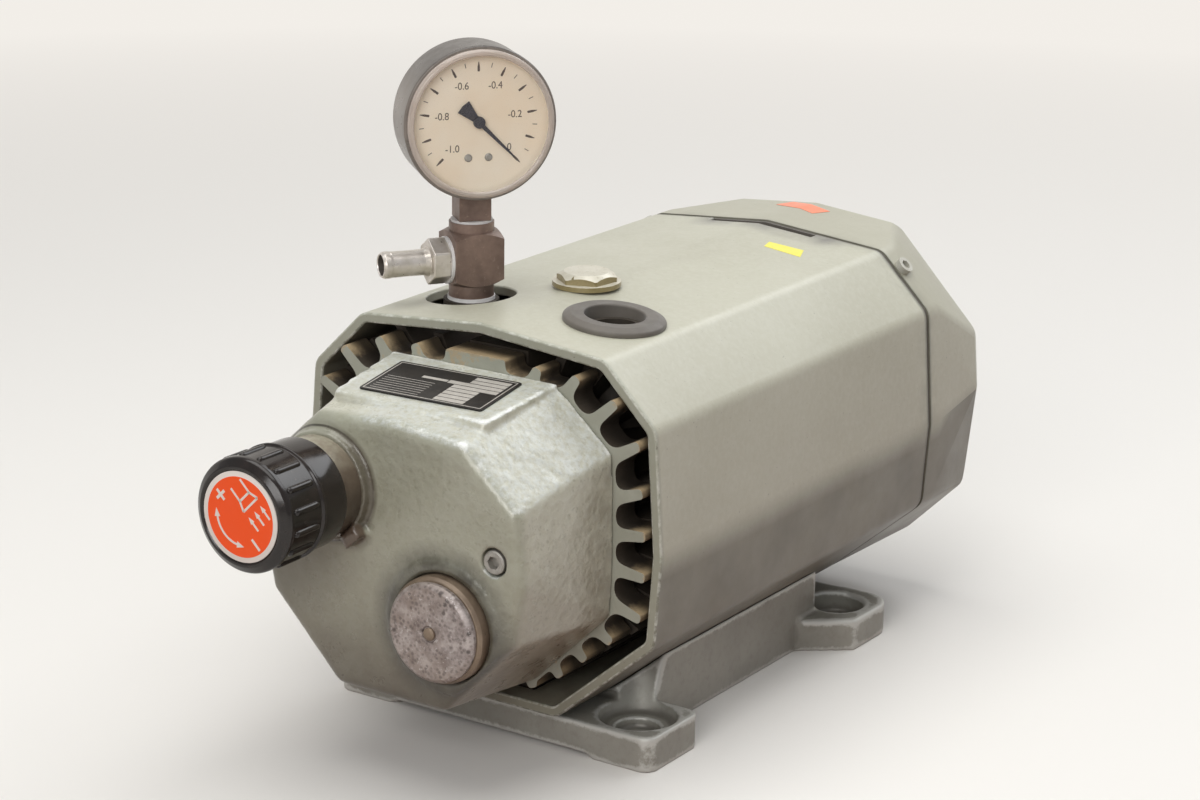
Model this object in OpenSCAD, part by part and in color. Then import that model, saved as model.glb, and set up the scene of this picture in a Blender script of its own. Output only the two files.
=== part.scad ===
// Oil-free rotary vane vacuum pump with a flange motor in an eight-sided cooling hood.
// X runs across the pump, Y from the regulator to the fan cowl, Z up from the floor.
// The origin lies on the floor, at the centre of the four foot holes.

/* [Hood] */
// Height of the shaft over the floor
axis_h = 100; // [99:0.5:112]
// Length of the hood
hood_l = 230; // [226:1:260]
// Wall of the hood
hood_wall = 4.5; // [3:0.1:5]
// Radius of the bends along the hood
hood_bend_r = 9; // [5:0.5:12]
// Height of the top ridge over the shaft
hood_ridge = 84.2; // [84:0.1:88]
// Top bend of the hood, across and up from the shaft
hood_top_bend = [61.9, 78.8];
// Upper side bend of the hood
hood_shoulder = [87.5, 53.3];
// Half width of the hood at shaft height
hood_half_w = 91.5; // [90:0.5:96]
// Lower side bend of the hood, across and down from the shaft
hood_hip = [88.8, -39.7];
// Bottom bend of the hood
hood_floor_bend = [40.7, -81.6];
// Width of the air slot at the rear of the hood's top
air_slot_w = 56; // [30:1:80]
// Depth of that air slot
air_slot_d = 6; // [2:0.5:9]

/* [Ports] */
// Distance of each port from the pump's middle plane
port_x = 37; // [35:0.5:39]
// Distance of the ports from the hood's front rim
port_in = 45; // [42:0.5:50]
// Hole in the hood over each port
port_hole_d = 39; // [36:0.5:42]
// Diameter of the cast port bosses
port_boss_d = 24; // [23:0.1:24.4]
// Height of the port bosses over the shaft
port_boss_h = 79.8; // [78:0.1:81]
// Bore of the ports, for a half-inch pipe thread
port_d = 19; // [17:0.1:20]
// Depth of the threaded part of a port
port_thread_l = 18; // [14:0.5:24]
// Air passage under the threaded part
port_passage_d = 15; // [10:0.5:16]
// Outer diameter of the rubber port grommet
grommet_d = 44; // [42:0.5:48]
// Opening of the grommet
grommet_bore_d = 26; // [26:0.1:30]

/* [Lifting plug] */
// Distance of the plug from the hood's front rim
plug_in = 79; // [77:0.5:82]
// Flange of the plug
plug_flange_d = 30; // [24:0.5:32]
// Width across the plug's flats
plug_af = 23.5; // [19:0.5:25]
// Height of the plug over the hood
plug_h = 6.3; // [5:0.1:14]
// Stem of the plug
plug_stem_d = 16; // [12:0.5:18]
// Length of the stem under the hood's ridge
plug_stem_l = 24; // [20:0.5:27]

/* [Front cover] */
// Length of the front cover
cover_l = 60; // [54:1:70]
// Wall of the front cover
cover_wall = 5; // [4:0.25:7]
// Radius of the cover's front edge
cover_edge_r = 5; // [2:0.5:7]
// Radius of the cover's long edges
cover_bend_r = 6; // [3:0.5:8]
// Place of the two cover screws, across and up from the shaft
cover_screw_at = [52.8, 8.5];
// Head of a cover screw
cover_screw_head_d = 10; // [8:0.5:12]
// Length of the label pad
pad_l = 46; // [40:1:50]
// Width of the label pad
pad_w = 80; // [70:1:84]
// Width of the name plate
plate_w = 60; // [50:1:66]
// Length of the name plate
plate_l = 31; // [25:1:36]
// Thickness of the name plate
plate_t = 0.8; // [0.5:0.1:1.5]

/* [Regulator] */
// Place of the vacuum regulator, across and up from the shaft
reg_at = [-31, 25.5];
// Distance of the knob's face from the front cover
knob_l = 54; // [50:0.5:60]
// Diameter over the knob's ribs
knob_d = 49; // [47:0.5:54]
// Diameter of the knob's smooth collar
knob_collar_d = 46.5; // [44:0.5:48]
// Length of the ribbed grip
grip_l = 24.5; // [20:0.5:28]
// Number of grip ribs
grip_ribs = 16; // [12:1:24]
// Diameter of the knob's label
label_d = 37.5; // [34:0.5:40]
// Cast boss under the regulator
reg_boss_d = 45.5; // [44:0.5:52]
// Flange of the regulator's body on that boss
reg_flange_d = 42.6; // [40:0.2:45]
// Outer diameter of the regulator's tube, on which the knob turns
reg_tube_d = 34; // [32:0.5:36]
// Bore of the regulator's tube
reg_bore_d = 26; // [25:0.5:27]
// Wire of the regulator spring
spring_wire_d = 1.6; // [1.2:0.1:2]
// Mean diameter of the regulator spring
spring_d = 18; // [16:0.5:19]
// Turns of the regulator spring
spring_turns = 5; // [4:1:5]
// Travel of the spring seat each way
seat_travel = 2.4; // [1:0.1:3]

/* [Service plug] */
// Place of the round service plug, across and up from the shaft
cap_at = [28.5, -24];
// Diameter of the plug's disc
cap_d = 42; // [38:0.5:44]
// Thickness of the plug's disc
cap_t = 4; // [3:0.5:8]
// Diameter of the ring under the disc
cap_ring_d = 45; // [43:0.5:52]
// Thickness of that ring
cap_ring_t = 8.5; // [2:0.5:10]
// Centre pin of the plug
cap_pin_d = 5.5; // [4:0.5:7]

/* [Pump] */
// Bore of the cylinder
bore_d = 100; // [96:0.5:101]
// Distance of the cylinder's bore centre under the shaft
eccentricity = 4; // [3:0.25:5]
// Length of the cylinder
cyl_l = 54; // [50:1:58]
// Outer radius of the cylinder's wall
cyl_r = 62; // [60:0.5:64]
// Thickness of the finned front plate
end_plate_t = 14; // [13:0.5:16]
// Thickness of the drive plate
drive_plate_t = 24; // [22:0.5:28]
// Step between the cooling fins
fin_step = 12; // [12:6:24]
// Thickness of a cooling fin
fin_t = 4.6; // [3:0.1:6]
// Air gap between the fin tips and the hood's sides
fin_gap = 1; // [0.5:0.1:5]
// Height of the upper fin tips over the shaft
fin_top = 71.5; // [66:0.5:74]
// Thickness of a vane
vane_t = 4; // [3:0.1:5]
// Width of a vane along its slot
vane_w = 20; // [16:0.5:22]
// Diameter of the shaft
shaft_d = 20; // [17:0.5:22]
// Outer diameter of the ball bearings
bearing_d = 42; // [40:0.5:46]
// Width of the ball bearings
bearing_w = 12; // [9:0.5:12]

/* [Motor] */
// Outer diameter of the motor's case
motor_d = 132; // [128:1:136]
// Wall of the motor's case
motor_wall = 5; // [4:0.5:6]
// Length of the motor's case
motor_l = 118; // [114:1:124]
// Outer diameter of the motor's rotor
motor_rotor_d = 69; // [60:1:74]
// Length of the stator stack
stack_l = 70; // [60:1:76]
// Diameter of the cooling fan
fan_d = 124; // [110:1:130]
// Number of fan blades
fan_blades = 9; // [6:1:12]

/* [Fan cowl] */
// Thickness of the rubber seam between hood and cowl
seam_t = 2; // [1:0.25:3]
// Length of the cowl
cowl_l = 54; // [50:1:60]
// Straight lip of the cowl
cowl_lip_l = 10; // [8:0.5:14]
// Wall of the cowl
cowl_wall = 3.5; // [2.5:0.1:5]
// Round edge at the cowl's end
cowl_edge_r = 8; // [4:0.5:10]
// Air slots in the cowl's end
cowl_slots = 7; // [5:1:8]
// Height of one air slot
cowl_slot_h = 6; // [4:0.5:8]

/* [Gauge] */
// Diameter of the gauge's case
gauge_d = 66; // [60:0.5:68]
// Depth of the gauge's case
gauge_depth = 27.5; // [24:0.5:32]
// Height of the gauge's centre over the shaft
gauge_h = 159; // [156:0.5:166]
// Turn of the dial to the right of straight ahead
gauge_turn = 50; // [0:0.1:90]
// Distance of the gauge's front from its stem's centre
gauge_front = 18; // [16:0.5:19]
// Square of the gauge's stem
stem_w = 14; // [12:0.5:17]
// Turn of the tee's side outlet to the right of straight ahead
tee_turn = -33.4; // [-60:0.1:60]
// Square of the tee's body
tee_w = 22; // [18:0.5:24]
// Height of the tee's body
tee_h = 23; // [18:0.5:26]
// Diameter of the tee's collars
tee_collar_d = 19.5; // [17:0.1:20.5]
// Hose nozzle diameter
barb_d = 11.7; // [9:0.1:13]
// Hose nozzle length
barb_l = 21; // [16:0.5:26]
// Bore of the hose nozzle
barb_bore_d = 6.5; // [4:0.1:7]

/* [Base] */
// Distance of the foot holes across the pump
foot_x = 125; // [122:0.5:130]
// Distance of the foot holes along the pump
foot_y = 170; // [168:0.5:180]
// Foot hole
foot_hole_d = 12; // [9:0.5:13]
// Thickness of the feet and crossbars
foot_t = 15.5; // [13:0.5:16]
// Thickness of the rear lugs
lug_t = 15; // [13:0.5:20]
// Outer width over the side webs
web_span = 120; // [116:0.5:122]
// Thickness of the side webs
web_t = 7; // [5:0.5:9]
// Width of the front feet, from side to side
foot_span = 165.5; // [158:0.5:168]
// Length of the front feet along the pump
foot_l = 40; // [38:1:50]
// Overhang of the front crossbar's underside over the floor
bar_lift = 2; // [1:0.25:4]
// Diameter of the rear wells
well_d = 26; // [22:0.5:28]

/* [Hidden] */
// Running clearance on a radius, where one piece turns or slides in another
run_gap = 0.05;
// Clearance on a radius between pieces that are fixed together
fit_gap = 0.05;
// Free clearance between pieces that don't touch in use
free_gap = 0.3;
hood_paint = [0.47, 0.49, 0.41];
cast_grey = [0.62, 0.63, 0.62];
cast_dark = [0.34, 0.32, 0.29];
steel = [0.70, 0.70, 0.70];
black = [0.07, 0.07, 0.07];
brass_dark = [0.30, 0.23, 0.18];
ptfe = [0.93, 0.93, 0.91];

hood_y0 = -hood_l / 2;
hood_y1 = hood_l / 2;
port_y = hood_y0 + port_in;
plug_y = hood_y0 + plug_in;
top_slope = atan((hood_ridge - hood_top_bend.y) / hood_top_bend.x);
function top_z(x) = hood_ridge - abs(x) * tan(top_slope);

// The front plate stands this far proud of the hood's front rim
plate_lead = 3;
end_y0 = hood_y0 - plate_lead;
end_y1 = end_y0 + end_plate_t;
cyl_y1 = end_y1 + cyl_l;
drive_y1 = cyl_y1 + drive_plate_t;
cover_y1 = end_y0;
cover_y0 = cover_y1 - cover_l;
motor_y1 = drive_y1 + motor_l;
shield_t = 12;
shield_y1 = motor_y1 + shield_t;
cowl_y0 = hood_y1 + seam_t;
cowl_y1 = cowl_y0 + cowl_l;

front_half = [[0, 58], [37, 55], [64, 30], [67, 0], [61.5, -27], [27, -62]];
rear_half = [[0, 66], [44, 63.5], [69.4, 41.5], [70.3, 0], [69.3, -28.7], [31, -66]];
cowl_half = [[0, 84], [44, 80], [88.5, 34], [91, 6], [86, -42], [56, -72]];
hood_half = [[0, hood_ridge], hood_top_bend, hood_shoulder, [hood_half_w, 0], hood_hip, hood_floor_bend];

function unit(v) = v / norm(v);
// A closed outline from its right half, given from the top down
function both_sides(h) = concat(h, [for (i = [len(h) - 1:-1:0]) if (h[i].x > 0) [-h[i].x, h[i].y]]);
function out_normal(a, b) = let (u = unit(b - a)) [-u.y, u.x];
// A clockwise outline drawn in by d
function inset(p, d) = [for (i = [0:len(p) - 1])
    let (n1 = out_normal(p[(i + len(p) - 1) % len(p)], p[i]), n2 = out_normal(p[i], p[(i + 1) % len(p)]))
    p[i] - d * (n1 + n2) / (1 + n1 * n2)];
// One corner with radius r, left sharp where it hardly turns
function corner(a, b, c, r) =
    let (u = unit(a - b), v = unit(c - b), half = acos(u * v) / 2, turn = 180 - 2 * half)
    turn < 12 || r <= 0 ? [b] :
    let (t = r / tan(half), m = b + unit(u + v) * r / sin(half), s = b + u * t - m, e = b + v * t - m,
        a0 = atan2(s.y, s.x), d = (atan2(e.y, e.x) - a0 + 540) % 360 - 180, n = ceil(turn / 12))
    [for (k = [0:n]) m + r * [cos(a0 + d * k / n), sin(a0 + d * k / n)]];
function rounded(p, r) = [for (i = [0:len(p) - 1])
    each corner(p[(i + len(p) - 1) % len(p)], p[i], p[(i + 1) % len(p)], r)];
function hood_outline(d) = rounded(inset(both_sides(hood_half), d), max(1, hood_bend_r - d));

module along_y(y0, y1) translate([0, y1, axis_h]) rotate([90, 0, 0]) linear_extrude(y1 - y0) children();
module round_y(y0, y1, r, at = [0, 0]) translate([at.x, y1, axis_h + at.y]) rotate([90, 0, 0])
    cylinder(r = r, h = y1 - y0, $fn = 96);
module slab(y, half, d, r) along_y(y, y + 0.02) polygon(rounded(inset(both_sides(half), d), r));
module on_top(x, y) translate([x, y, axis_h + top_z(x)]) rotate([0, sign(x) * top_slope, 0]) children();
module above(x, y, z) translate([x, y, axis_h + z]) children();
// Stands on the front cover's face, with its own Z pointing forwards
module on_face(at) translate([at.x, cover_y0, axis_h + at.y]) rotate([90, 0, 0]) children();
module at_tee() translate([-port_x, port_y, axis_h]) rotate([0, 0, tee_turn]) children();
module at_gauge() translate([-port_x, port_y, axis_h + gauge_h]) rotate([0, 0, gauge_turn])
    rotate([90, 0, 0]) children();
module spun(points, fn = 64) rotate_extrude($fn = fn) polygon(points);
module hexagon(af, h) cylinder(d = af / cos(30), h = h, $fn = 6);

// Base frame: crossbars, side webs and four feet in one casting
rear_bar_y0 = 56;
front_bar_y0 = -foot_y / 2 - 22;
front_bar_y1 = front_bar_y0 + foot_l;
front_wall_y1 = front_bar_y1 + 6;
foot_w = 34;
foot_corner_r = 6;
lug_root = [web_span / 2, foot_y / 2 - 33];
lug_front = [foot_x / 2 + 19.5, foot_y / 2 - 15.5];
lug_rear = [lug_front.x, foot_y / 2 + 22];
lug_front_r = 3.5;
lug_rear_r = 14;
web_y1 = foot_y / 2 - 15;
well_floor_z = 5;
scallop_floor_z = 10;
function lug_plan() = concat(corner([0, lug_rear.y], lug_rear, lug_front, lug_rear_r),
    corner(lug_rear, lug_front, lug_root, lug_front_r),
    [lug_root, [lug_root.x - web_t, lug_root.y], [lug_root.x - web_t, lug_rear.y]]);
module plan(x0, x1, y0, y1, r) {
    polygon(rounded([[x0, y1], [x1, y1], [x1, y0], [x0, y0]], r));
}
module base_solid() {
    translate([0, 0, bar_lift]) linear_extrude(foot_t - bar_lift)
        plan(-foot_span / 2, foot_span / 2, front_bar_y0, front_bar_y1, foot_corner_r);
    for (side = [-1, 1]) {
        // Front foot, down to the floor
        translate([side * (foot_span - foot_w) / 2, 0, 0]) linear_extrude(foot_t)
            plan(-foot_w / 2, foot_w / 2, front_bar_y0, front_bar_y1, foot_corner_r);
        // Rear lug, which leaves the web at a slant
        linear_extrude(lug_t) polygon([for (p = lug_plan()) [side * p.x, p.y]]);
        // Side web
        translate([side * (web_span - web_t) / 2, (front_wall_y1 + web_y1 - 10) / 2, 0])
            linear_extrude(axis_h - 30) square([web_t, web_y1 - front_wall_y1 + 10], center = true);
        // Front cross wall, which leaves room for the pump's foot
        translate([side * (web_span / 4 + 12), front_wall_y1 - 7.5, 0])
            linear_extrude(axis_h - 30) square([web_span / 2 - 24, 15], center = true);
        // Rear cross wall
        translate([side * (web_span / 4 + 13), web_y1 - 4, 0])
            linear_extrude(axis_h - 30) square([web_span / 2 - 26, 8], center = true);
    }
    translate([0, 0, bar_lift]) linear_extrude(foot_t - bar_lift)
        plan(-web_span / 2, web_span / 2, rear_bar_y0, lug_rear.y - 3, 4);
}
module base_frame() color(cast_grey) difference() {
    base_solid();
    along_y(hood_y0 - 20, hood_y1 + 20) polygon(hood_outline(-free_gap));
    for (side = [-1, 1]) {
        for (end = [-1, 1]) translate([side * foot_x / 2, end * foot_y / 2, -1])
            cylinder(d = foot_hole_d, h = 60, $fn = 64);
        translate([side * foot_x / 2, -foot_y / 2, scallop_floor_z])
            cylinder(r1 = 15.5, r2 = 24.5, h = 26, $fn = 96);
        translate([side * foot_x / 2, -foot_y / 2, well_floor_z]) cylinder(d = 19, h = 30, $fn = 64);
        translate([side * foot_x / 2, foot_y / 2, well_floor_z]) cylinder(d = well_d, h = 60, $fn = 64);
    }
    for (bolt = foot_bolts_at()) translate([bolt.x, bolt.y, 0]) {
        translate([0, 0, -1]) cylinder(d = 9, h = 40, $fn = 48);
        translate([0, 0, -1]) cylinder(d = bolt_head_d + 2, h = 1 + bar_lift + 6, $fn = 48);
    }
}

// Bolts that hold the pump's and the motor's feet from below
bolt_head_d = 13;
bolt_x = 10;
pump_bolt_y = end_y1 + 16;
motor_bolt_y = 74;
function foot_bolts_at() = [for (y = [pump_bolt_y, motor_bolt_y], side = [1, -1]) [side * bolt_x, y]];
module foot_bolt(i) color(steel) translate([foot_bolts_at()[i].x, foot_bolts_at()[i].y, 0]) difference() {
    union() {
        translate([0, 0, bar_lift + 6 - 5]) cylinder(d = bolt_head_d, h = 5, $fn = 48);
        translate([0, 0, bar_lift + 6 - 0.1]) cylinder(d = 8, h = 20.1, $fn = 48);
    }
    translate([0, 0, bar_lift]) hexagon(6, 3);
}

// Hood, open at both ends, with a flat bottom that lets the two feet through
foot_block_w = 38;
pump_foot_y0 = end_y1 + 3;
pump_foot_y1 = pump_foot_y0 + 32;
motor_foot_y0 = 60;
motor_foot_y1 = 88;
foot_gap = 2;
module hood() color(hood_paint) difference() {
    along_y(hood_y0, hood_y1) difference() {
        polygon(hood_outline(0));
        polygon(hood_outline(hood_wall));
    }
    for (side = [-1, 1]) on_top(side * port_x, port_y)
        cylinder(d = port_hole_d, h = 5 * hood_wall, center = true, $fn = 96);
    above(0, plug_y, 50) cylinder(d = plug_stem_d + 1, h = 60, $fn = 64);
    translate([-air_slot_w / 2, hood_y1 - air_slot_d, axis_h + 50]) cube([air_slot_w, 50, 60]);
    for (y = [[pump_foot_y0, pump_foot_y1], [motor_foot_y0, motor_foot_y1]])
        translate([-foot_block_w / 2 - foot_gap, y[0] - foot_gap, 0])
            cube([foot_block_w + 2 * foot_gap, y[1] - y[0] + 2 * foot_gap, axis_h / 2]);
}

grommet_rim = 3.6;
module port_grommet() color(black) on_top(port_x, port_y) difference() {
    union() {
        spun([[5, 0.02], [grommet_d / 2 - 0.4, 0.02], [grommet_d / 2, 0.5], [grommet_d / 2, 1.4],
            [grommet_d / 2 - 0.6, 2.6], [grommet_d / 2 - 1.7, 3.4], [grommet_d / 2 - 3, grommet_rim],
            [5, grommet_rim]], 72);
        translate([0, 0, -hood_wall - 0.1]) cylinder(d = port_hole_d - 0.2, h = hood_wall + 0.3, $fn = 72);
        translate([0, 0, -hood_wall - 2.6]) cylinder(d = port_hole_d + 3, h = 2.55, $fn = 72);
    }
    translate([0, 0, -20]) cylinder(d = grommet_bore_d, h = 40, $fn = 72);
}

// Lifting plug: flange, chamfered hexagon and a stem that clamps the hood to the drive plate
plug_boss_h = top_z(plug_stem_d / 2 + 4) - hood_wall - free_gap;
plug_flange_t = 0.35 * plug_h;
plug_turn = 21.6;
plug_corner_r = plug_af / 2 + 1.55;
plug_top_r = plug_af / 2 - 1.75;
module lifting_plug() color([0.62, 0.57, 0.38]) above(0, plug_y, hood_ridge + 0.05) {
    cylinder(d = plug_flange_d, h = plug_flange_t, $fn = 72);
    intersection() {
        rotate(plug_turn) hexagon(plug_af, plug_h);
        spun([[0, 0], [plug_corner_r, 0], [plug_corner_r, plug_h * 0.65], [plug_top_r, plug_h], [0, plug_h]]);
    }
    translate([0, 0, -plug_stem_l]) cylinder(d = plug_stem_d, h = plug_stem_l + 0.1, $fn = 64);
}

// Fan cowl: a straight lip, then facets that draw in to the slotted end
screw_y = cowl_y0 + 4.5;
chamfer_dir = unit(hood_shoulder - hood_top_bend);
chamfer_turn = atan2(-chamfer_dir.y, chamfer_dir.x);
screw_at = hood_top_bend + 11.6 * chamfer_dir;
cowl_screw_l = 12;
cowl_slot_step = 15;
cowl_slot_l = 124;
cowl_slot_taper = 0.7;
module cowl_shape(d, y0, y1) hull() {
    along_y(y0, cowl_y0 + cowl_lip_l) polygon(hood_outline(d));
    slab(y1 - cowl_edge_r, cowl_half, d, max(1, hood_bend_r - d));
    slab(y1 - cowl_edge_r * 0.3, cowl_half, d + cowl_edge_r * 0.3, hood_bend_r);
    slab(y1 - 0.02, cowl_half, d + cowl_edge_r, hood_bend_r);
}
module fan_cowl() color(hood_paint) difference() {
    cowl_shape(0, cowl_y0, cowl_y1);
    cowl_shape(cowl_wall, cowl_y0 - 0.5, cowl_y1 - cowl_wall);
    for (i = [0:cowl_slots - 1])
        let (z = (i - (cowl_slots - 1) / 2) * cowl_slot_step, w = cowl_slot_l - cowl_slot_taper * abs(z))
        translate([-w / 2, cowl_y1 - 20, axis_h + z - cowl_slot_h / 2]) cube([w, 40, cowl_slot_h]);
    for (side = [-1, 1]) cowl_screw_axis(side) cylinder(d = 5.4, h = 40, center = true, $fn = 32);
}
module cowl_screw_axis(side) translate([side * screw_at.x, screw_y, axis_h + screw_at.y])
    rotate([0, side * chamfer_turn, 0]) children();
// A short cap screw on the cowl's chamfer, which grips an ear of the motor's rear shield
module cowl_screw(side) color(steel) cowl_screw_axis(side) difference() {
    union() {
        translate([0, 0, 0.02]) cylinder(d = 8, h = 3, $fn = 48);
        translate([0, 0, -cowl_screw_l]) cylinder(d = 5, h = cowl_screw_l + 0.1, $fn = 48);
    }
    translate([0, 0, 1.2]) hexagon(4, 3);
}
module cowl_seal() color(black) along_y(hood_y1, cowl_y0) difference() {
    polygon(hood_outline(0.8));
    polygon(hood_outline(min(hood_wall, cowl_wall) - 0.4));
}

// Front cover: a cast shell with a tapered eight-sided section, a label pad and bosses inside
reg_thread_d = 22;
cap_thread_d = 26;
cap_recess_t = 2.5;
cap_boss_d = 54;
cap_boss_h = 1.5;
cap_boss_foot = 2.2;
reg_lug_h = 7;
screw_recess = 4;
screw_shank_d = 6;
screw_head_h = 6;
module cover_outside() hull() {
    for (a = [0:30:90]) slab(cover_y0 + cover_edge_r * (1 - cos(a)), front_half,
        cover_edge_r * (1 - sin(a)), cover_bend_r);
    slab(cover_y1 - 0.02, rear_half, 0, cover_bend_r);
}
module cover_inside() hull() {
    slab(cover_y0 + cover_wall, front_half, cover_wall, 3);
    slab(cover_y1 + 0.5, rear_half, cover_wall, 3);
}
pad_front_z = 60.2;
pad_rear_z = 66.2;
pad_y0 = cover_y1 - pad_l;
pad_slope = atan((pad_rear_z - pad_front_z) / pad_l);
module label_pad() hull() {
    translate([-pad_w / 2 + 4, pad_y0 + 3, axis_h + 45]) cylinder(r = 3, h = pad_front_z - 45, $fn = 24);
    translate([pad_w / 2 - 4, pad_y0 + 3, axis_h + 45]) cylinder(r = 3, h = pad_front_z - 45, $fn = 24);
    translate([-pad_w / 2 - 2, cover_y1 - 0.1, axis_h + 45]) cube([pad_w + 4, 0.1, pad_rear_z - 45]);
}
module front_cover() color(hood_paint) difference() {
    union() {
        difference() {
            union() {
                cover_outside();
                label_pad();
            }
            cover_inside();
        }
        intersection() {
            cover_outside();
            union() {
                for (side = [-1, 1])
                    round_y(cover_y0 + 1, cover_y1, 8, [side * cover_screw_at.x, cover_screw_at.y]);
                round_y(cover_y0 + 1, cover_y0 + 14, reg_thread_d / 2 + 6, reg_at);
                round_y(cover_y0 + 1, cover_y0 + 18, cap_thread_d / 2 + 6, cap_at);
            }
        }
        // Low boss under the service plug, cut off where the face ends
        intersection() {
            on_face(cap_at) spun([[0, -cap_recess_t], [cap_boss_d / 2 + cap_boss_foot, -cap_recess_t],
                [cap_boss_d / 2 + cap_boss_foot, 0], [cap_boss_d / 2, cap_boss_h], [0, cap_boss_h]], 96);
            along_y(cover_y0 - cap_boss_h - 1, cover_y0 + cover_edge_r)
                polygon(rounded(inset(both_sides(front_half), cover_edge_r / 3), cover_bend_r));
        }
        round_y(cover_y0 - reg_boss_h, cover_y0 + 1, reg_boss_d / 2, reg_at);
        // Lug beside the regulator boss
        on_face(reg_at) rotate(-48) translate([reg_flange_d / 2 + free_gap, -5, -1])
            cube([(reg_boss_d - reg_flange_d) / 2 + 5 - free_gap, 10, reg_lug_h + 1]);
    }
    round_y(cover_y0 - 20, cover_y0 + 30, reg_thread_d / 2, reg_at);
    on_face(cap_at) {
        translate([0, 0, -cap_recess_t]) cylinder(r = cap_ring_d / 2 + 0.5, h = 2 * cap_recess_t, $fn = 96);
        translate([0, 0, -40]) cylinder(d = cap_thread_d, h = 50, $fn = 96);
    }
    for (side = [-1, 1]) on_face([side * cover_screw_at.x, cover_screw_at.y]) {
        translate([0, 0, -screw_recess - 2]) cylinder(d = cover_screw_head_d + 2, h = 20, $fn = 64);
        translate([0, 0, -cover_l - 5]) cylinder(d = screw_shank_d + 2 * fit_gap, h = cover_l + 20, $fn = 48);
    }
}
module cover_screw(side) color(steel) on_face([side * cover_screw_at.x, cover_screw_at.y]) difference() {
    union() {
        translate([0, 0, -screw_recess - 2])
            cylinder(d = cover_screw_head_d, h = screw_head_h - 0.6, $fn = 64);
        translate([0, 0, -screw_recess - 2.6 + screw_head_h])
            cylinder(d1 = cover_screw_head_d, d2 = cover_screw_head_d - 1.2, h = 0.6, $fn = 64);
        translate([0, 0, -cover_l - 9])
            cylinder(d = screw_shank_d, h = cover_l + 9 - screw_recess - 1.9, $fn = 48);
    }
    translate([0, 0, -screw_recess + 0.8]) hexagon(5, 4);
}
plate_turn = 2.5;
plate_in = 27 - plate_lead - 15.5;
module name_plate() color(black) translate([0, cover_y1, axis_h + pad_rear_z])
    rotate([pad_slope, 0, 0]) translate([0, -plate_in - plate_l / 2, 0.02]) rotate(plate_turn)
    linear_extrude(plate_t) plan(-plate_w / 2, plate_w / 2, -plate_l / 2, plate_l / 2, 1.5);

// Cooling fins that stand on a round body, save where the blocks are. Their tips follow the hood's
// sides, stop level at the top and stay well over its lower bends.
top_block_w = 30;
fin_half = [[0, fin_top], [92, fin_top], [92, -23], [34, -70]];
module fin_star(gap, root) intersection() {
    polygon(hood_outline(hood_wall + gap));
    polygon(both_sides(fin_half));
    union() {
        for (a = [fin_step / 2:fin_step:359.9]) if (abs(a - 90) > 13 && abs(a - 270) > 13)
            rotate(a) translate([root, -fin_t / 2]) square([70, fin_t]);
        translate([-top_block_w / 2, 0]) square([top_block_w, fin_top]);
    }
}
module end_plate() color(cast_dark) difference() {
    union() {
        along_y(end_y0, end_y1) polygon(rounded(both_sides(rear_half), cover_bend_r));
        along_y(end_y0, end_y1) fin_star(fin_gap, cyl_r - 6);
    }
    round_y(end_y0 - 1, end_y0 + bearing_w, bearing_d / 2 + fit_gap);
    round_y(end_y0 - 1, end_y1 + 1, shaft_d / 2 + 1.5);
    for (side = [-1, 1]) round_y(end_y0 - 1, end_y0 + 9.5, screw_shank_d / 2 + fit_gap,
        [side * cover_screw_at.x, cover_screw_at.y]);
}
module pump_cylinder() color(cast_dark) difference() {
    union() {
        round_y(end_y1, cyl_y1, cyl_r);
        along_y(end_y1 + 3, cyl_y1) fin_star(fin_gap + 1.5, cyl_r - 4);
        for (side = [-1, 1]) {
            above(side * port_x, port_y, 40) cylinder(d = port_boss_d, h = port_boss_h - 40, $fn = 96);
            above(side * port_x, port_y, 40)
                cylinder(d1 = port_boss_d + 14, d2 = port_boss_d + 4, h = 26, $fn = 96);
        }
        translate([-foot_block_w / 2, pump_foot_y0, foot_t])
            cube([foot_block_w, pump_foot_y1 - pump_foot_y0, axis_h - foot_t - cyl_r + 8]);
    }
    round_y(end_y1 - 1, cyl_y1 + 1, bore_d / 2, [0, -eccentricity]);
    for (side = [-1, 1]) {
        above(side * port_x, port_y, port_boss_h - port_thread_l) cylinder(d = port_d, h = 60, $fn = 96);
        above(side * port_x, port_y, 10) cylinder(d = port_passage_d, h = 70, $fn = 64);
    }
    for (bolt = [0, 1]) translate([foot_bolts_at()[bolt].x, foot_bolts_at()[bolt].y, foot_t - 1])
        cylinder(d = 8 + 2 * fit_gap, h = 14, $fn = 48);
}
module drive_plate() color(cast_dark) difference() {
    union() {
        round_y(cyl_y1, drive_y1, cyl_r);
        along_y(cyl_y1 + 3, drive_y1) fin_star(fin_gap + 1.5, cyl_r - 4);
        intersection() {
            above(0, plug_y, 40) cylinder(r = plug_stem_d / 2 + 4, h = plug_boss_h - 40, $fn = 72);
            translate([-cyl_r, cyl_y1, 0]) cube([2 * cyl_r, drive_plate_t, 2 * axis_h]);
        }
    }
    round_y(drive_y1 - bearing_w, drive_y1 + 1, bearing_d / 2 + fit_gap);
    round_y(cyl_y1 - 1, drive_y1 + 1, shaft_d / 2 + 1.5);
    above(0, plug_y, hood_ridge - plug_stem_l - 2)
        cylinder(d = plug_stem_d + 2 * fit_gap, h = 2 * plug_stem_l, $fn = 72);
}

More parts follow.
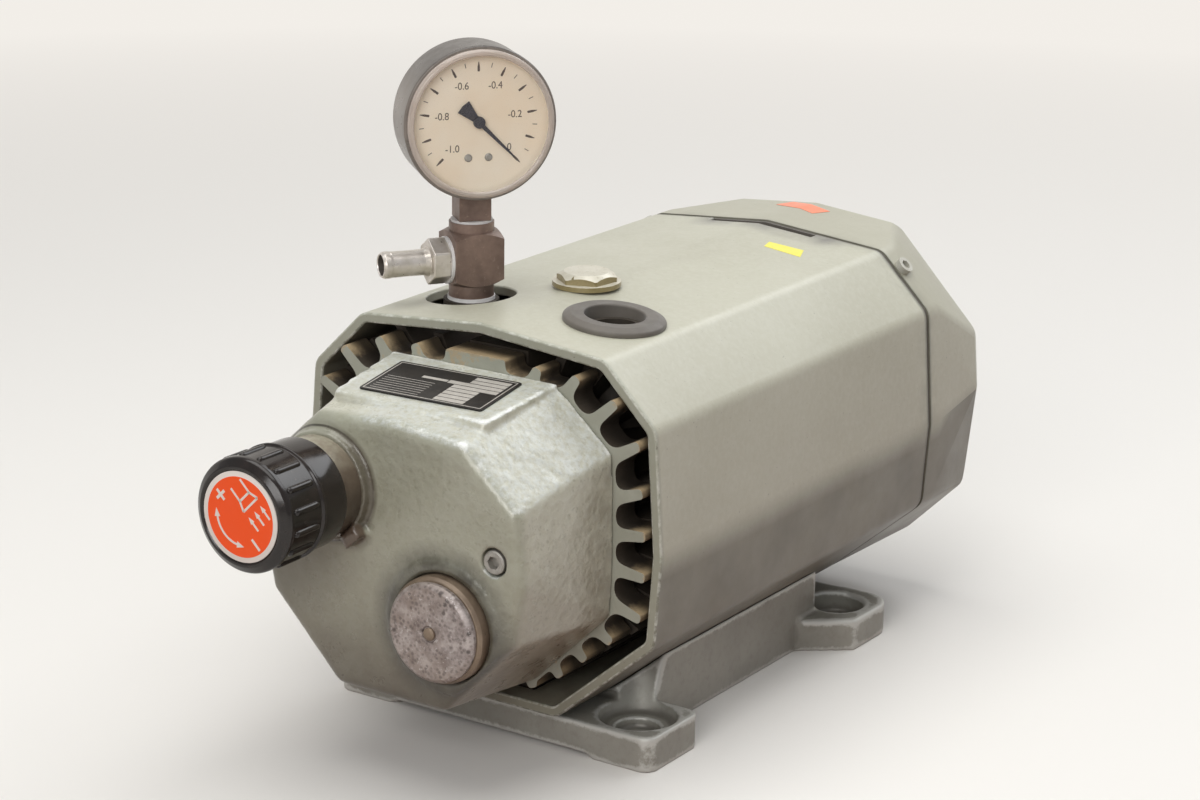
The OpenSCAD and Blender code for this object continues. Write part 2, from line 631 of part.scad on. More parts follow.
// Rotor with its vanes drawn in, as at a standstill
vane_n = 6;
rotor_r = bore_d / 2 - eccentricity - free_gap;
rotor_y0 = end_y1 + free_gap;
rotor_y1 = cyl_y1 - free_gap;
vane_tip_r = rotor_r - 0.4;
module rotor() color(steel) difference() {
    round_y(rotor_y0, rotor_y1, rotor_r);
    round_y(rotor_y0 - 1, rotor_y1 + 1, shaft_d / 2 + fit_gap);
    for (i = [0:vane_n - 1]) along_y(rotor_y0 - 1, rotor_y1 + 1) rotate(i * 360 / vane_n)
        translate([vane_tip_r - vane_w - 1, -vane_t / 2 - fit_gap])
            square([vane_w + 5, vane_t + 2 * fit_gap]);
}
module vane(i) color(black) along_y(rotor_y0, rotor_y1) rotate(i * 360 / vane_n)
    translate([vane_tip_r - vane_w, -vane_t / 2]) square([vane_w, vane_t]);
shaft_y0 = end_y0 + 1;
fan_y0 = shield_y1 + 8;
fan_y1 = fan_y0 + 22;
module shaft() color(steel) round_y(shaft_y0, fan_y1 + 2, shaft_d / 2);
module bearing(y) color(steel) difference() {
    round_y(y, y + bearing_w - 0.1, bearing_d / 2);
    round_y(y - 1, y + bearing_w + 1, shaft_d / 2 + run_gap);
    for (s = [y - 0.9, y + bearing_w - 1]) difference() {
        round_y(s, s + 1.8, bearing_d / 2 - 4);
        round_y(s - 1, s + 3, shaft_d / 2 + 4);
    }
}

// Flange motor
module motor_case() color(cast_grey) difference() {
    union() {
        round_y(drive_y1, motor_y1, motor_d / 2);
        translate([-foot_block_w / 2, motor_foot_y0, foot_t])
            cube([foot_block_w, motor_foot_y1 - motor_foot_y0, axis_h - foot_t - motor_d / 2 + 10]);
    }
    round_y(drive_y1 - 1, motor_y1 + 1, motor_d / 2 - motor_wall);
    for (bolt = [2, 3]) translate([foot_bolts_at()[bolt].x, foot_bolts_at()[bolt].y, foot_t - 1])
        cylinder(d = 8 + 2 * fit_gap, h = 14, $fn = 48);
}
stack_y0 = (drive_y1 + motor_y1 - stack_l) / 2;
stack_y1 = stack_y0 + stack_l;
stator_r = motor_d / 2 - motor_wall - fit_gap;
module motor_stator() color([0.45, 0.45, 0.47]) difference() {
    round_y(stack_y0, stack_y1, stator_r);
    round_y(stack_y0 - 1, stack_y1 + 1, motor_rotor_d / 2 + 0.5);
}
// Section of a winding head: across as a share of the ring from the rotor to the case, and its height
winding_section = [[0.15, 0], [0.74, 0], [0.81, 8], [0.66, 15], [0.3, 15], [0.15, 8]];
module winding(y, way) color([0.66, 0.36, 0.18]) translate([0, y, axis_h]) rotate([-90 * way, 0, 0])
    spun([for (p = winding_section) [motor_rotor_d / 2 + p.x * (stator_r - motor_rotor_d / 2), p.y]], 72);
module motor_rotor() color([0.55, 0.55, 0.57]) difference() {
    round_y(stack_y0 - 2, stack_y1 + 2, motor_rotor_d / 2);
    round_y(stack_y0 - 4, stack_y1 + 4, shaft_d / 2 + fit_gap);
}
ear_w = 14;
ear_drop = hood_wall + free_gap;
ear_t = 8;
ear_root = 42;
ear_step = 1;
ear_tip_l = 6;
// An ear from the side: its root in the shield, its arm and the tip under the cowl's lip
module ear_side() {
    y0 = motor_y1 + ear_step - screw_y;
    root_y1 = shield_y1 - ear_step - screw_y;
    tip_y0 = cowl_y0 + free_gap - screw_y;
    polygon([[y0, -ear_root], [root_y1, -ear_root], [root_y1, -ear_drop - ear_t],
        [ear_tip_l, -ear_drop - ear_t], [ear_tip_l, -cowl_wall - free_gap],
        [tip_y0, -cowl_wall - free_gap], [tip_y0, -ear_drop], [y0, -ear_drop]]);
}
module rear_shield() color(cast_grey) difference() {
    union() {
        round_y(motor_y1, shield_y1, motor_d / 2);
        for (side = [-1, 1]) cowl_screw_axis(side) rotate([90, 0, 90])
            linear_extrude(ear_w, center = true) ear_side();
    }
    round_y(motor_y1 - 1, motor_y1 + bearing_w - 2, bearing_d / 2 + fit_gap);
    round_y(motor_y1 - 1, shield_y1 + 1, shaft_d / 2 + 1);
    for (side = [-1, 1]) cowl_screw_axis(side) cylinder(d = 5 + 2 * fit_gap, h = 2 * cowl_screw_l + 4,
        center = true, $fn = 48);
}
hub_r = 16;
module fan() color([0.2, 0.2, 0.2]) difference() {
    union() {
        round_y(fan_y0, fan_y1, hub_r);
        round_y(fan_y0, fan_y0 + 2.5, fan_d / 2 - 10);
        for (i = [0:fan_blades - 1]) along_y(fan_y0, fan_y1) rotate(i * 360 / fan_blades)
            translate([hub_r - 2, -1.2]) square([fan_d / 2 - hub_r + 2, 2.4]);
    }
    round_y(fan_y0 - 1, fan_y1 + 3, shaft_d / 2 + fit_gap);
}

// Vacuum regulator on the front cover; all lengths run forwards from the cover's face
reg_boss_h = 4;
reg_flange_t = 10.7;
reg_flange_z = reg_boss_h + reg_flange_t;
knob_back_z = reg_flange_z + free_gap;
knob_bore_top = knob_l - 13;
tube_top = knob_bore_top - 1;
valve_seat_z = reg_flange_z + 1.5;
valve_t = 2.5;
seat_z = reg_flange_z + 17;
seat_t = 5;
key_w = 4.4;
key_r = reg_bore_d / 2 + 1.8;
spindle_d = 10;
passage_r = 6;
module regulator_body() color(brass_dark) on_face(reg_at) difference() {
    union() {
        translate([0, 0, -6]) cylinder(d = reg_thread_d - 2 * fit_gap, h = 6 + reg_boss_h + 0.1, $fn = 72);
        translate([0, 0, reg_boss_h]) cylinder(d = reg_flange_d, h = reg_flange_t, $fn = 96);
        translate([0, 0, reg_boss_h]) cylinder(d = reg_tube_d, h = tube_top - reg_boss_h, $fn = 96);
    }
    translate([0, 0, reg_flange_z]) difference() {
        cylinder(d = reg_bore_d, h = 60, $fn = 72);
        cylinder(r = passage_r + 2, h = valve_seat_z - reg_flange_z, $fn = 72);
    }
    translate([-key_r, -key_w / 2, reg_flange_z + 4]) cube([2 * key_r, key_w, 60]);
    translate([0, 0, -10]) cylinder(r = passage_r, h = 60, $fn = 64);
    // Air inlets through the tube
    for (a = [45, 135]) rotate(a) translate([-30, -3, reg_flange_z + 2]) cube([60, 6, 5]);
}
knob_r = knob_d / 2;
grip_r = knob_r - 1.4;
module regulator_knob() color(black) on_face(reg_at) difference() {
    union() {
        spun([[5.5, knob_back_z], [knob_collar_d / 2 - 1, knob_back_z], [knob_collar_d / 2, knob_back_z + 1],
            [knob_collar_d / 2, knob_l - grip_l], [grip_r, knob_l - grip_l],
            [grip_r, knob_l - 2.6], [grip_r - 0.7, knob_l - 1], [grip_r - 2.4, knob_l], [5.5, knob_l]], 96);
        translate([0, 0, knob_l - 12]) cylinder(r = 12, h = 11, $fn = 64);
        for (i = [0:grip_ribs - 1]) rotate(i * 360 / grip_ribs)
            translate([grip_r - 2, -1.9, knob_l - grip_l]) cube([knob_r - grip_r + 2, 3.8, grip_l - 3.4]);
    }
    translate([0, 0, knob_back_z - 1])
        cylinder(r = reg_tube_d / 2 + run_gap, h = knob_bore_top - knob_back_z + 1, $fn = 96);
    translate([0, 0, knob_l - 0.6]) cylinder(d = label_d + 0.6, h = 2, $fn = 96);
    translate([0, 0, 0]) cylinder(r = spindle_d / 2 + fit_gap, h = knob_l - 5, $fn = 64);
}
module knob_label() color([0.85, 0.2, 0.12]) on_face(reg_at) translate([0, 0, knob_l - 0.6])
    cylinder(d = label_d, h = 0.5, $fn = 96);
spindle_z = seat_z - seat_travel - 3.6;
module regulator_spindle() color(steel) on_face(reg_at) translate([0, 0, spindle_z])
    cylinder(d = spindle_d, h = knob_l - 5.1 - spindle_z, $fn = 64);
module spring_seat() color(steel) on_face(reg_at) translate([0, 0, seat_z]) difference() {
    union() {
        cylinder(r = reg_bore_d / 2 - free_gap, h = seat_t, $fn = 72);
        translate([-key_r + 0.4, -key_w / 2 + 0.2, 0]) cube([2 * key_r - 0.8, key_w - 0.4, seat_t]);
    }
    translate([0, 0, -1]) cylinder(r = spindle_d / 2 + run_gap, h = seat_t + 2, $fn = 64);
}
module valve_plate() color(steel) on_face(reg_at) translate([0, 0, valve_seat_z]) {
    cylinder(r = reg_bore_d / 2 - 2.5, h = valve_t, $fn = 72);
    for (a = [0, 90]) rotate(a) translate([-passage_r + 0.4, -1, -8]) cube([2 * passage_r - 0.8, 2, 8.1]);
}
// Spring: one unbroken wire, from the valve plate to the seat
spring_z0 = valve_seat_z + valve_t + spring_wire_d / 2 + 0.05;
spring_z1 = seat_z - spring_wire_d / 2 - 0.05;
spring_steps = 20;
function spring_ring(k) =
    let (n = spring_turns * spring_steps, a = 360 * k / spring_steps,
        z = spring_z0 + (spring_z1 - spring_z0) * k / n)
    [for (j = [0:5]) let (b = 60 * j, r = spring_d / 2 + spring_wire_d / 2 * cos(b))
        [r * cos(a), r * sin(a), z + spring_wire_d / 2 * sin(b)]];
module valve_spring() color(steel) on_face(reg_at) {
    n = spring_turns * spring_steps;
    polyhedron(points = [for (k = [0:n]) each spring_ring(k)],
        faces = concat([[for (j = [0:5]) j]], [[for (j = [5:-1:0]) n * 6 + j]],
            [for (k = [0:n - 1], j = [0:5]) each let (a = k * 6 + j, b = k * 6 + (j + 1) % 6)
                [[a, a + 6, b + 6], [a, b + 6, b]]]));
}
echo("least gap between spring turns", (spring_z1 - spring_z0) / spring_turns - spring_wire_d);

// Service plug
module plug_ring() color(brass_dark) on_face(cap_at) translate([0, 0, -cap_recess_t]) difference() {
    cylinder(d = cap_ring_d, h = cap_ring_t, $fn = 96);
    translate([0, 0, -1]) cylinder(d = cap_thread_d + 0.5, h = 20, $fn = 96);
}
cap_stem_l = 20;
module service_plug() color(steel) on_face(cap_at) translate([0, 0, cap_ring_t - cap_recess_t]) difference() {
    spun([[0, -cap_stem_l], [cap_thread_d / 2 - 1, -cap_stem_l], [cap_thread_d / 2 - fit_gap, 1 - cap_stem_l],
        [cap_thread_d / 2 - fit_gap, 0],
        [cap_d / 2, 0], [cap_d / 2, cap_t - 2], [cap_d / 2 - 0.6, cap_t - 0.6], [cap_d / 2 - 2, cap_t],
        [0, cap_t]], 96);
    translate([0, 0, cap_t - 3]) cylinder(d = cap_pin_d + 2 * fit_gap, h = 10, $fn = 48);
}
module plug_pin() color([0.65, 0.5, 0.25]) on_face(cap_at)
    translate([0, 0, cap_ring_t - cap_recess_t + cap_t - 3]) spun([[0, 0], [cap_pin_d / 2, 0],
        [cap_pin_d / 2, 3.1], [cap_pin_d / 2 - 0.6, 3.7], [0, 3.7]], 48);

// Tee on the left port; all heights are over the shaft
seal_t = 1.5;
tee_z0 = port_boss_h + seal_t;
tee_block_z = 87;
tee_block_z1 = tee_block_z + tee_h;
tee_z1 = tee_block_z1 + 4;
side_z = tee_block_z + 0.45 * tee_h;
gauge_thread_d = 13;
side_thread_d = 12;
module tee() color(brass_dark) at_tee() difference() {
    union() {
        translate([0, 0, port_boss_h - 15])
            cylinder(d = port_d - 4 * fit_gap, h = 15 + seal_t + 0.1, $fn = 72);
        translate([0, 0, tee_z0]) cylinder(d = tee_collar_d, h = tee_z1 - tee_z0, $fn = 72);
        intersection() {
            translate([-tee_w / 2, -tee_w / 2, tee_block_z]) cube([tee_w, tee_w, tee_h]);
            spun([[0, tee_block_z], [tee_w / 2, tee_block_z], [tee_w * 0.7, tee_block_z + 2.6],
                [tee_w * 0.7, tee_block_z1 - 2.6], [tee_w / 2, tee_block_z1], [0, tee_block_z1]], 72);
        }
    }
    translate([0, 0, port_boss_h - 20]) cylinder(r = 4, h = 80, $fn = 48);
    translate([0, 0, tee_z1 - 10]) cylinder(d = gauge_thread_d, h = 20, $fn = 64);
    translate([0, 0, side_z]) rotate([90, 0, 0]) cylinder(d = side_thread_d, h = 30, $fn = 64);
}
module washer(d, hole, h) difference() {
    cylinder(d = d, h = h, $fn = 72);
    translate([0, 0, -1]) cylinder(d = hole, h = h + 2, $fn = 72);
}
module seal_port() color(ptfe) at_tee() translate([0, 0, port_boss_h])
    washer(port_boss_d - 3.4, port_d + 0.1, seal_t);
module seal_gauge() color(ptfe) at_tee() translate([0, 0, tee_z1])
    washer(tee_collar_d - 1.5, gauge_thread_d + 0.1, 1);
module seal_hose() color(ptfe) at_tee() translate([0, -tee_w / 2, side_z]) rotate([90, 0, 0])
    washer(tee_w - 1.5, side_thread_d + 0.1, 1.2);
nozzle_af = 18;
nozzle_collar_r = nozzle_af / 2 + 0.2;
nozzle_corner_r = nozzle_af / 2 + 1.4;
nozzle_hex_l = 8;
nozzle_lip = 0.2;
nozzle_tip = nozzle_hex_l + barb_l;
module hose_barb() color([0.6, 0.58, 0.54]) at_tee() translate([0, -tee_w / 2 - 1.2, side_z])
    rotate([90, 0, 0]) difference() {
        union() {
            translate([0, 0, -5.5]) cylinder(d = side_thread_d - 2 * fit_gap, h = 5.6, $fn = 64);
            intersection() {
                rotate(30) hexagon(nozzle_af, nozzle_hex_l);
                spun([[0, 0], [nozzle_collar_r, 0], [nozzle_corner_r, 1], [nozzle_corner_r, nozzle_hex_l - 1],
                    [nozzle_collar_r, nozzle_hex_l], [0, nozzle_hex_l]]);
            }
            spun([[0, nozzle_hex_l - 0.1], [barb_d / 2 - nozzle_lip, nozzle_hex_l - 0.1],
                [barb_d / 2 - nozzle_lip, nozzle_tip - 3], [barb_d / 2, nozzle_tip - 2.4],
                [barb_d / 2, nozzle_tip - 1], [barb_d / 2 - 0.8, nozzle_tip], [0, nozzle_tip]]);
        }
        translate([0, 0, -10]) cylinder(d = barb_bore_d, h = 60, $fn = 48);
    }

// Vacuum gauge; its own Z runs out of the dial
case_r = gauge_d / 2;
case_wall = 2;
window_r = case_r - 1.3;
case_z0 = gauge_front - gauge_depth;
window_t = 2;
module gauge_case() color([0.2, 0.21, 0.21]) at_gauge() difference() {
    spun([[0, case_z0], [case_r - 3, case_z0], [case_r - 0.9, case_z0 + 0.9], [case_r, case_z0 + 3],
        [case_r, gauge_front - 2.4], [0, gauge_front - 2.4]], 96);
    translate([0, 0, case_z0 + 1.5]) cylinder(r = case_r - case_wall, h = 60, $fn = 96);
    translate([-stem_w / 2 - fit_gap, -60, -stem_w / 2 - fit_gap])
        cube([stem_w + 2 * fit_gap, 60 - 20, stem_w + 2 * fit_gap]);
}
module gauge_window() color([0.85, 0.88, 0.88, 0.4]) at_gauge() difference() {
    spun([[0, gauge_front - 2.6], [case_r - 3, gauge_front - 2.6], [case_r - 3, gauge_front - 5],
        [case_r - case_wall - fit_gap, gauge_front - 5], [case_r - case_wall - fit_gap, gauge_front - 2.35],
        [window_r, gauge_front - 2.35], [window_r, gauge_front - 0.8], [window_r - 1, gauge_front],
        [window_r - 2.2, gauge_front], [window_r - 2.8, gauge_front - 0.6], [0, gauge_front - 0.6]], 96);
}
dial_z = gauge_front - 7.2;
dial_t = 0.8;
arbor_d = 1.6;
module gauge_dial() color([0.93, 0.87, 0.72]) at_gauge() translate([0, 0, dial_z]) difference() {
    cylinder(r = case_r - case_wall - 0.3, h = dial_t, $fn = 96);
    translate([0, 0, -1]) cylinder(d = arbor_d + 1, h = 4, $fn = 32);
}
pointer_l = 21.5;
tail_l = 9.5;
// At rest the pointer stands at zero, at the lower right of the dial
module gauge_pointer() color(black) at_gauge() {
    rotate(-45) translate([0, 0, dial_z + dial_t + 0.6]) {
        cylinder(r = 2.5, h = 1.6, $fn = 48);
        linear_extrude(0.6) {
            polygon([[0, 1], [pointer_l, 0.35], [pointer_l, -0.35], [0, -1]]);
            polygon([[0, 1], [-tail_l, 3.4], [-tail_l - 0.5, 0], [-tail_l, -3.4], [0, -1]]);
        }
    }
    translate([0, 0, dial_z - 9.8]) cylinder(d = arbor_d, h = dial_t + 10.5, $fn = 32);
}
plate_half = 11;
module gauge_movement() color([0.72, 0.6, 0.32]) at_gauge() difference() {
    union() {
        for (z = [dial_z - 8.8, dial_z - 3.4])
            translate([-plate_half, -14, z]) cube([2 * plate_half, 24, 1.2]);
        for (x = [-9, 9], y = [-11.5, 7.5])
            translate([x, y, dial_z - 8.8]) cylinder(d = 3, h = 8.8, $fn = 24);
    }
    translate([0, 0, -20]) cylinder(d = arbor_d + 2 * run_gap, h = 40, $fn = 32);
}
stem_top = -14 - free_gap;
module gauge_stem() color(brass_dark) {
    at_gauge() translate([-stem_w / 2, tee_z1 + 1 - gauge_h, -stem_w / 2])
        cube([stem_w, stem_top - tee_z1 - 1 + gauge_h, stem_w]);
    at_tee() translate([0, 0, tee_z1 - 8]) cylinder(d = gauge_thread_d - 2 * fit_gap, h = 9.1, $fn = 64);
}
// C-shaped spring tube that starts in the stem block
tube_r = 20;
tube_wall = 1.2;
tube_start = -acos((stem_w / 2 + fit_gap) / (tube_r - tube_wall));
module bourdon_tube() color(brass_dark) at_gauge() translate([0, 0, case_z0 + 5])
    rotate(tube_start) rotate_extrude(angle = 250, $fn = 96)
    translate([tube_r - tube_wall, -3]) square([2 * tube_wall, 6]);

base_frame();
hood();
port_grommet();
lifting_plug();
fan_cowl();
cowl_seal();
cowl_screw(1);  // cowl_screw_right
cowl_screw(-1);  // cowl_screw_left
front_cover();
cover_screw(1);  // cover_screw_right
cover_screw(-1);  // cover_screw_left
name_plate();
end_plate();
pump_cylinder();
drive_plate();
rotor();
for (i = [1:vane_n]) vane(i);
shaft();
bearing(end_y0 + 0.1);  // front_bearing
bearing(drive_y1 - bearing_w);  // drive_bearing
bearing(motor_y1 - 2);  // rear_bearing
motor_case();
motor_stator();
winding(stack_y0, -1);  // winding_front
winding(stack_y1, 1);  // winding_rear
motor_rotor();
rear_shield();
fan();
foot_bolt(0);  // pump_foot_bolt_right
foot_bolt(1);  // pump_foot_bolt_left
foot_bolt(2);  // motor_foot_bolt_right
foot_bolt(3);  // motor_foot_bolt_left
regulator_body();
regulator_knob();
knob_label();
regulator_spindle();
spring_seat();
valve_spring();
valve_plate();
service_plug();
plug_ring();
plug_pin();
tee();
seal_port();
seal_hose();
seal_gauge();
hose_barb();
gauge_case();
gauge_window();
gauge_dial();
gauge_pointer();
gauge_stem();
bourdon_tube();
gauge_movement();
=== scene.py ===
# Vacuum pump on a base frame: finishes, soft edges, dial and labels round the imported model
import bmesh
import bpy
import math
import numpy as np
from mathutils import Matrix, Vector, noise
from mathutils.bvhtree import BVHTree


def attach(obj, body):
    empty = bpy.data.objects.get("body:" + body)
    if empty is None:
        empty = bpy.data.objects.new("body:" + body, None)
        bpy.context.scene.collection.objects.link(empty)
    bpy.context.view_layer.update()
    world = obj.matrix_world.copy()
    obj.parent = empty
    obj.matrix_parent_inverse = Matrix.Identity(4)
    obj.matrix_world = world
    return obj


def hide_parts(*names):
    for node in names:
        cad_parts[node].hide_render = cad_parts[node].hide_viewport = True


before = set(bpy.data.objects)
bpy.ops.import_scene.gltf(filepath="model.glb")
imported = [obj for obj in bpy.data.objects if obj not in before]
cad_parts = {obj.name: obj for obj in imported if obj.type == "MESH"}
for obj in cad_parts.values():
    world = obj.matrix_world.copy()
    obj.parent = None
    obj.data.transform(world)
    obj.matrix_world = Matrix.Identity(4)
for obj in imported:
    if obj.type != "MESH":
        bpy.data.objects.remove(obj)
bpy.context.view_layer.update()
mm = 0.001
print("frame loaded:", len(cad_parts), "nodes")

# Camera at the photograph's angle
camera = {
    "place": (0.7167, -1.1038, 0.5181),
    "right": (0.8305, 0.5568, 0.0152),
    "up": (-0.1722, 0.2307, 0.9577),
    "back": (0.5297, -0.7980, 0.2875),
    "lens": 91.92,
    "sensor": 36.0,
}


def placeCamera():
    lens = bpy.data.cameras.new("camera")
    lens.lens, lens.sensor_width = camera["lens"], camera["sensor"]
    lens.clip_start, lens.clip_end = 0.05, 50
    obj = bpy.data.objects.new("camera", lens)
    bpy.context.scene.collection.objects.link(obj)
    turn = Matrix((camera["right"], camera["up"], camera["back"])).transposed()
    obj.matrix_world = Matrix.Translation(camera["place"]) @ turn.to_4x4()
    bpy.context.scene.camera = obj


placeCamera()
print("camera placed")

# Shared sizes, in millimetres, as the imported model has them
pump = {
    "axisHeight": 100,
    "coverFace": -178,
    "portX": 37,
    "portY": -70,
    "topSlope": 4.986,
    "ridge": 84.2,
    "hood": [(0, 84.2), (61.9, 78.8), (87.5, 53.3), (91.5, 0), (88.8, -39.7), (40.7, -81.6)],
    "coverRear": [(0, 66), (44, 63.5), (69.4, 41.5), (70.3, 0), (69.3, -28.7), (31, -66)],
}


def placeAt(x, y, z, *turns):
    matrix = Matrix.Translation(Vector((x, y, z)) * mm)
    for axis, degrees in turns:
        matrix = matrix @ Matrix.Rotation(math.radians(degrees), 4, axis)
    return matrix @ Matrix.Scale(mm, 4)


def onFace(x, z):  # on the front cover's face, own Z forwards
    return placeAt(x, pump["coverFace"], pump["axisHeight"] + z, ("X", 90))


def onTop(x, y):  # on the hood's sloping top, own Z outwards
    height = pump["ridge"] - abs(x) * math.tan(math.radians(pump["topSlope"]))
    return placeAt(x, y, pump["axisHeight"] + height, ("Y", math.copysign(pump["topSlope"], x)))


# Colours are written as they look on a screen, 0 to 255, or are a node's output
def colour(value):
    if not isinstance(value, tuple):
        return value
    parts = [c / 255 for c in value]
    return tuple(c / 12.92 if c <= 0.04045 else ((c + 0.055) / 1.055) ** 2.4 for c in parts) + (1.0,)


class Finish:  # a material with its Principled shader, and short ways to add nodes

    def __init__(self, name, base, rough, metal=0.0, grain=None, **sockets):
        self.material = bpy.data.materials.new(name)
        self.material.use_nodes = True
        self.tree = self.material.node_tree
        self.shader = self.tree.nodes["Principled BSDF"]
        self.where = self.add("ShaderNodeTexCoord").outputs["Object"]
        self.base = base
        self.set("Roughness", self.patches(*rough) if isinstance(rough, tuple) else rough)
        self.set("Metallic", metal)
        for socket, value in sockets.items():
            self.set(socket.replace("_", " "), value)
        if grain:
            self.set("Normal", self.grain(*grain))

    def set(self, socket, value):
        self.plug(self.shader.inputs[socket], value)

    def plug(self, socket, value):
        if isinstance(value, bpy.types.NodeSocket):
            self.tree.links.new(value, socket)
        elif value is not None:
            socket.default_value = value

    def add(self, kind, inputs=None, **settings):
        node = self.tree.nodes.new(kind)
        for key, value in settings.items():
            setattr(node, key, value)
        for key, value in (inputs or {}).items():
            self.plug(node.inputs[key], value)
        return node

    def over(self, mask, tint):  # a tint over the base colour, as far as the mask says
        self.base = self.mix(mask, self.base, tint)

    def done(self):
        self.set("Base Color", colour(self.base))
        return self.material

    def stretched(self, scale, turn=(0, 0, 0)):
        settings = {"Vector": self.where, "Scale": scale, "Rotation": turn}
        return self.add("ShaderNodeMapping", settings).outputs[0]

    def noise(self, scale, detail, rough, where=None, distortion=0.0):
        return self.add("ShaderNodeTexNoise", {
            "Vector": where or self.where, "Scale": scale, "Detail": detail, "Roughness": rough,
            "Distortion": distortion}).outputs["Fac"]

    def patches(self, scale, detail, rough, *stops, **more):
        height = self.noise(scale, detail, rough, **more)
        return self.ramp(height, *stops) if stops else height

    def ragged(self, value, amount, *speckle):  # a value made uneven by noise
        uneven = self.times(self.math("SUBTRACT", self.noise(*speckle), 0.5), amount)
        return self.math("ADD", value, uneven)

    def cells(self, scale, where=None, feature="F1", **inputs):
        return self.add("ShaderNodeTexVoronoi", {"Vector": where or self.where, "Scale": scale, **inputs},
                        feature=feature).outputs["Distance"]

    def ramp(self, factor, *stops):
        node = self.add("ShaderNodeValToRGB", {"Fac": factor})
        while len(node.color_ramp.elements) < len(stops):
            node.color_ramp.elements.new(0.5)
        for element, (place, value) in zip(node.color_ramp.elements, stops):
            element.position = place
            element.color = (value, value, value, 1.0)
        return node.outputs["Color"]

    def mix(self, factor, first, second):
        node = self.add("ShaderNodeMix", data_type="RGBA")
        for index, value in ((0, factor), (6, colour(first)), (7, colour(second))):
            self.plug(node.inputs[index], value)
        return node.outputs[2]

    def math(self, operation, first, second=None, clamp=False):
        node = self.add("ShaderNodeMath", {0: first, 1: second}, operation=operation, use_clamp=clamp)
        return node.outputs[0]

    def times(self, first, *others):
        for other in others:
            first = self.math("MULTIPLY", first, other)
        return first

    def apart(self, value, middle):
        return self.math("ABSOLUTE", self.math("SUBTRACT", value, middle))

    def vector(self, operation, first, second=None, out=0):
        return self.add("ShaderNodeVectorMath", {0: first, 1: second}, operation=operation).outputs[out]

    def part(self, which, vector):
        return self.add("ShaderNodeSeparateXYZ", {"Vector": vector}).outputs[which]

    def axis(self, which):
        return self.part(which, self.where)

    def outwards(self, which):  # part of the surface's own normal
        return self.part(which, self.add("ShaderNodeTexCoord").outputs["Normal"])

    def between(self, value, low, high, first=0.0, second=1.0):
        return self.add("ShaderNodeMapRange", {"Value": value, "From Min": low, "From Max": high,
                                               "To Min": first, "To Max": second}).outputs[0]

    def away(self, x, z):  # distance from a line along Y
        flat = self.vector("MULTIPLY", self.where, (1, 0, 1))
        return self.vector("DISTANCE", flat, (x, 0, z), "Value")

    def marked(self, name):  # a number stored on the piece's points
        return self.add("ShaderNodeAttribute", attribute_name=name).outputs["Fac"]

    def bump(self, height, strength, distance, after=None):
        return self.add("ShaderNodeBump", {"Height": height, "Strength": strength, "Distance": distance,
                                           "Normal": after}).outputs[0]

    def grain(self, scale, strength, distance, detail=3, rough=0.6, after=None):
        return self.bump(self.noise(scale, detail, rough), strength, distance, after)


def glossy(scale, low, high, end=0.7, detail=3, rough=0.6):  # roughness in patches
    return scale, detail, rough, (0.3, low), (end, high)


# Green-grey paint of the hood, the cowl and the cast cover
paint = {
    "light": (190, 189, 172),
    "dark": (177, 175, 157),
    "brown": (128, 116, 98),
    "worn": (214, 215, 206),
    # dark dirt, also used as painted shade in the hood's seam and the cover's hollows
    "grimeAndShade": (72, 66, 55),
}


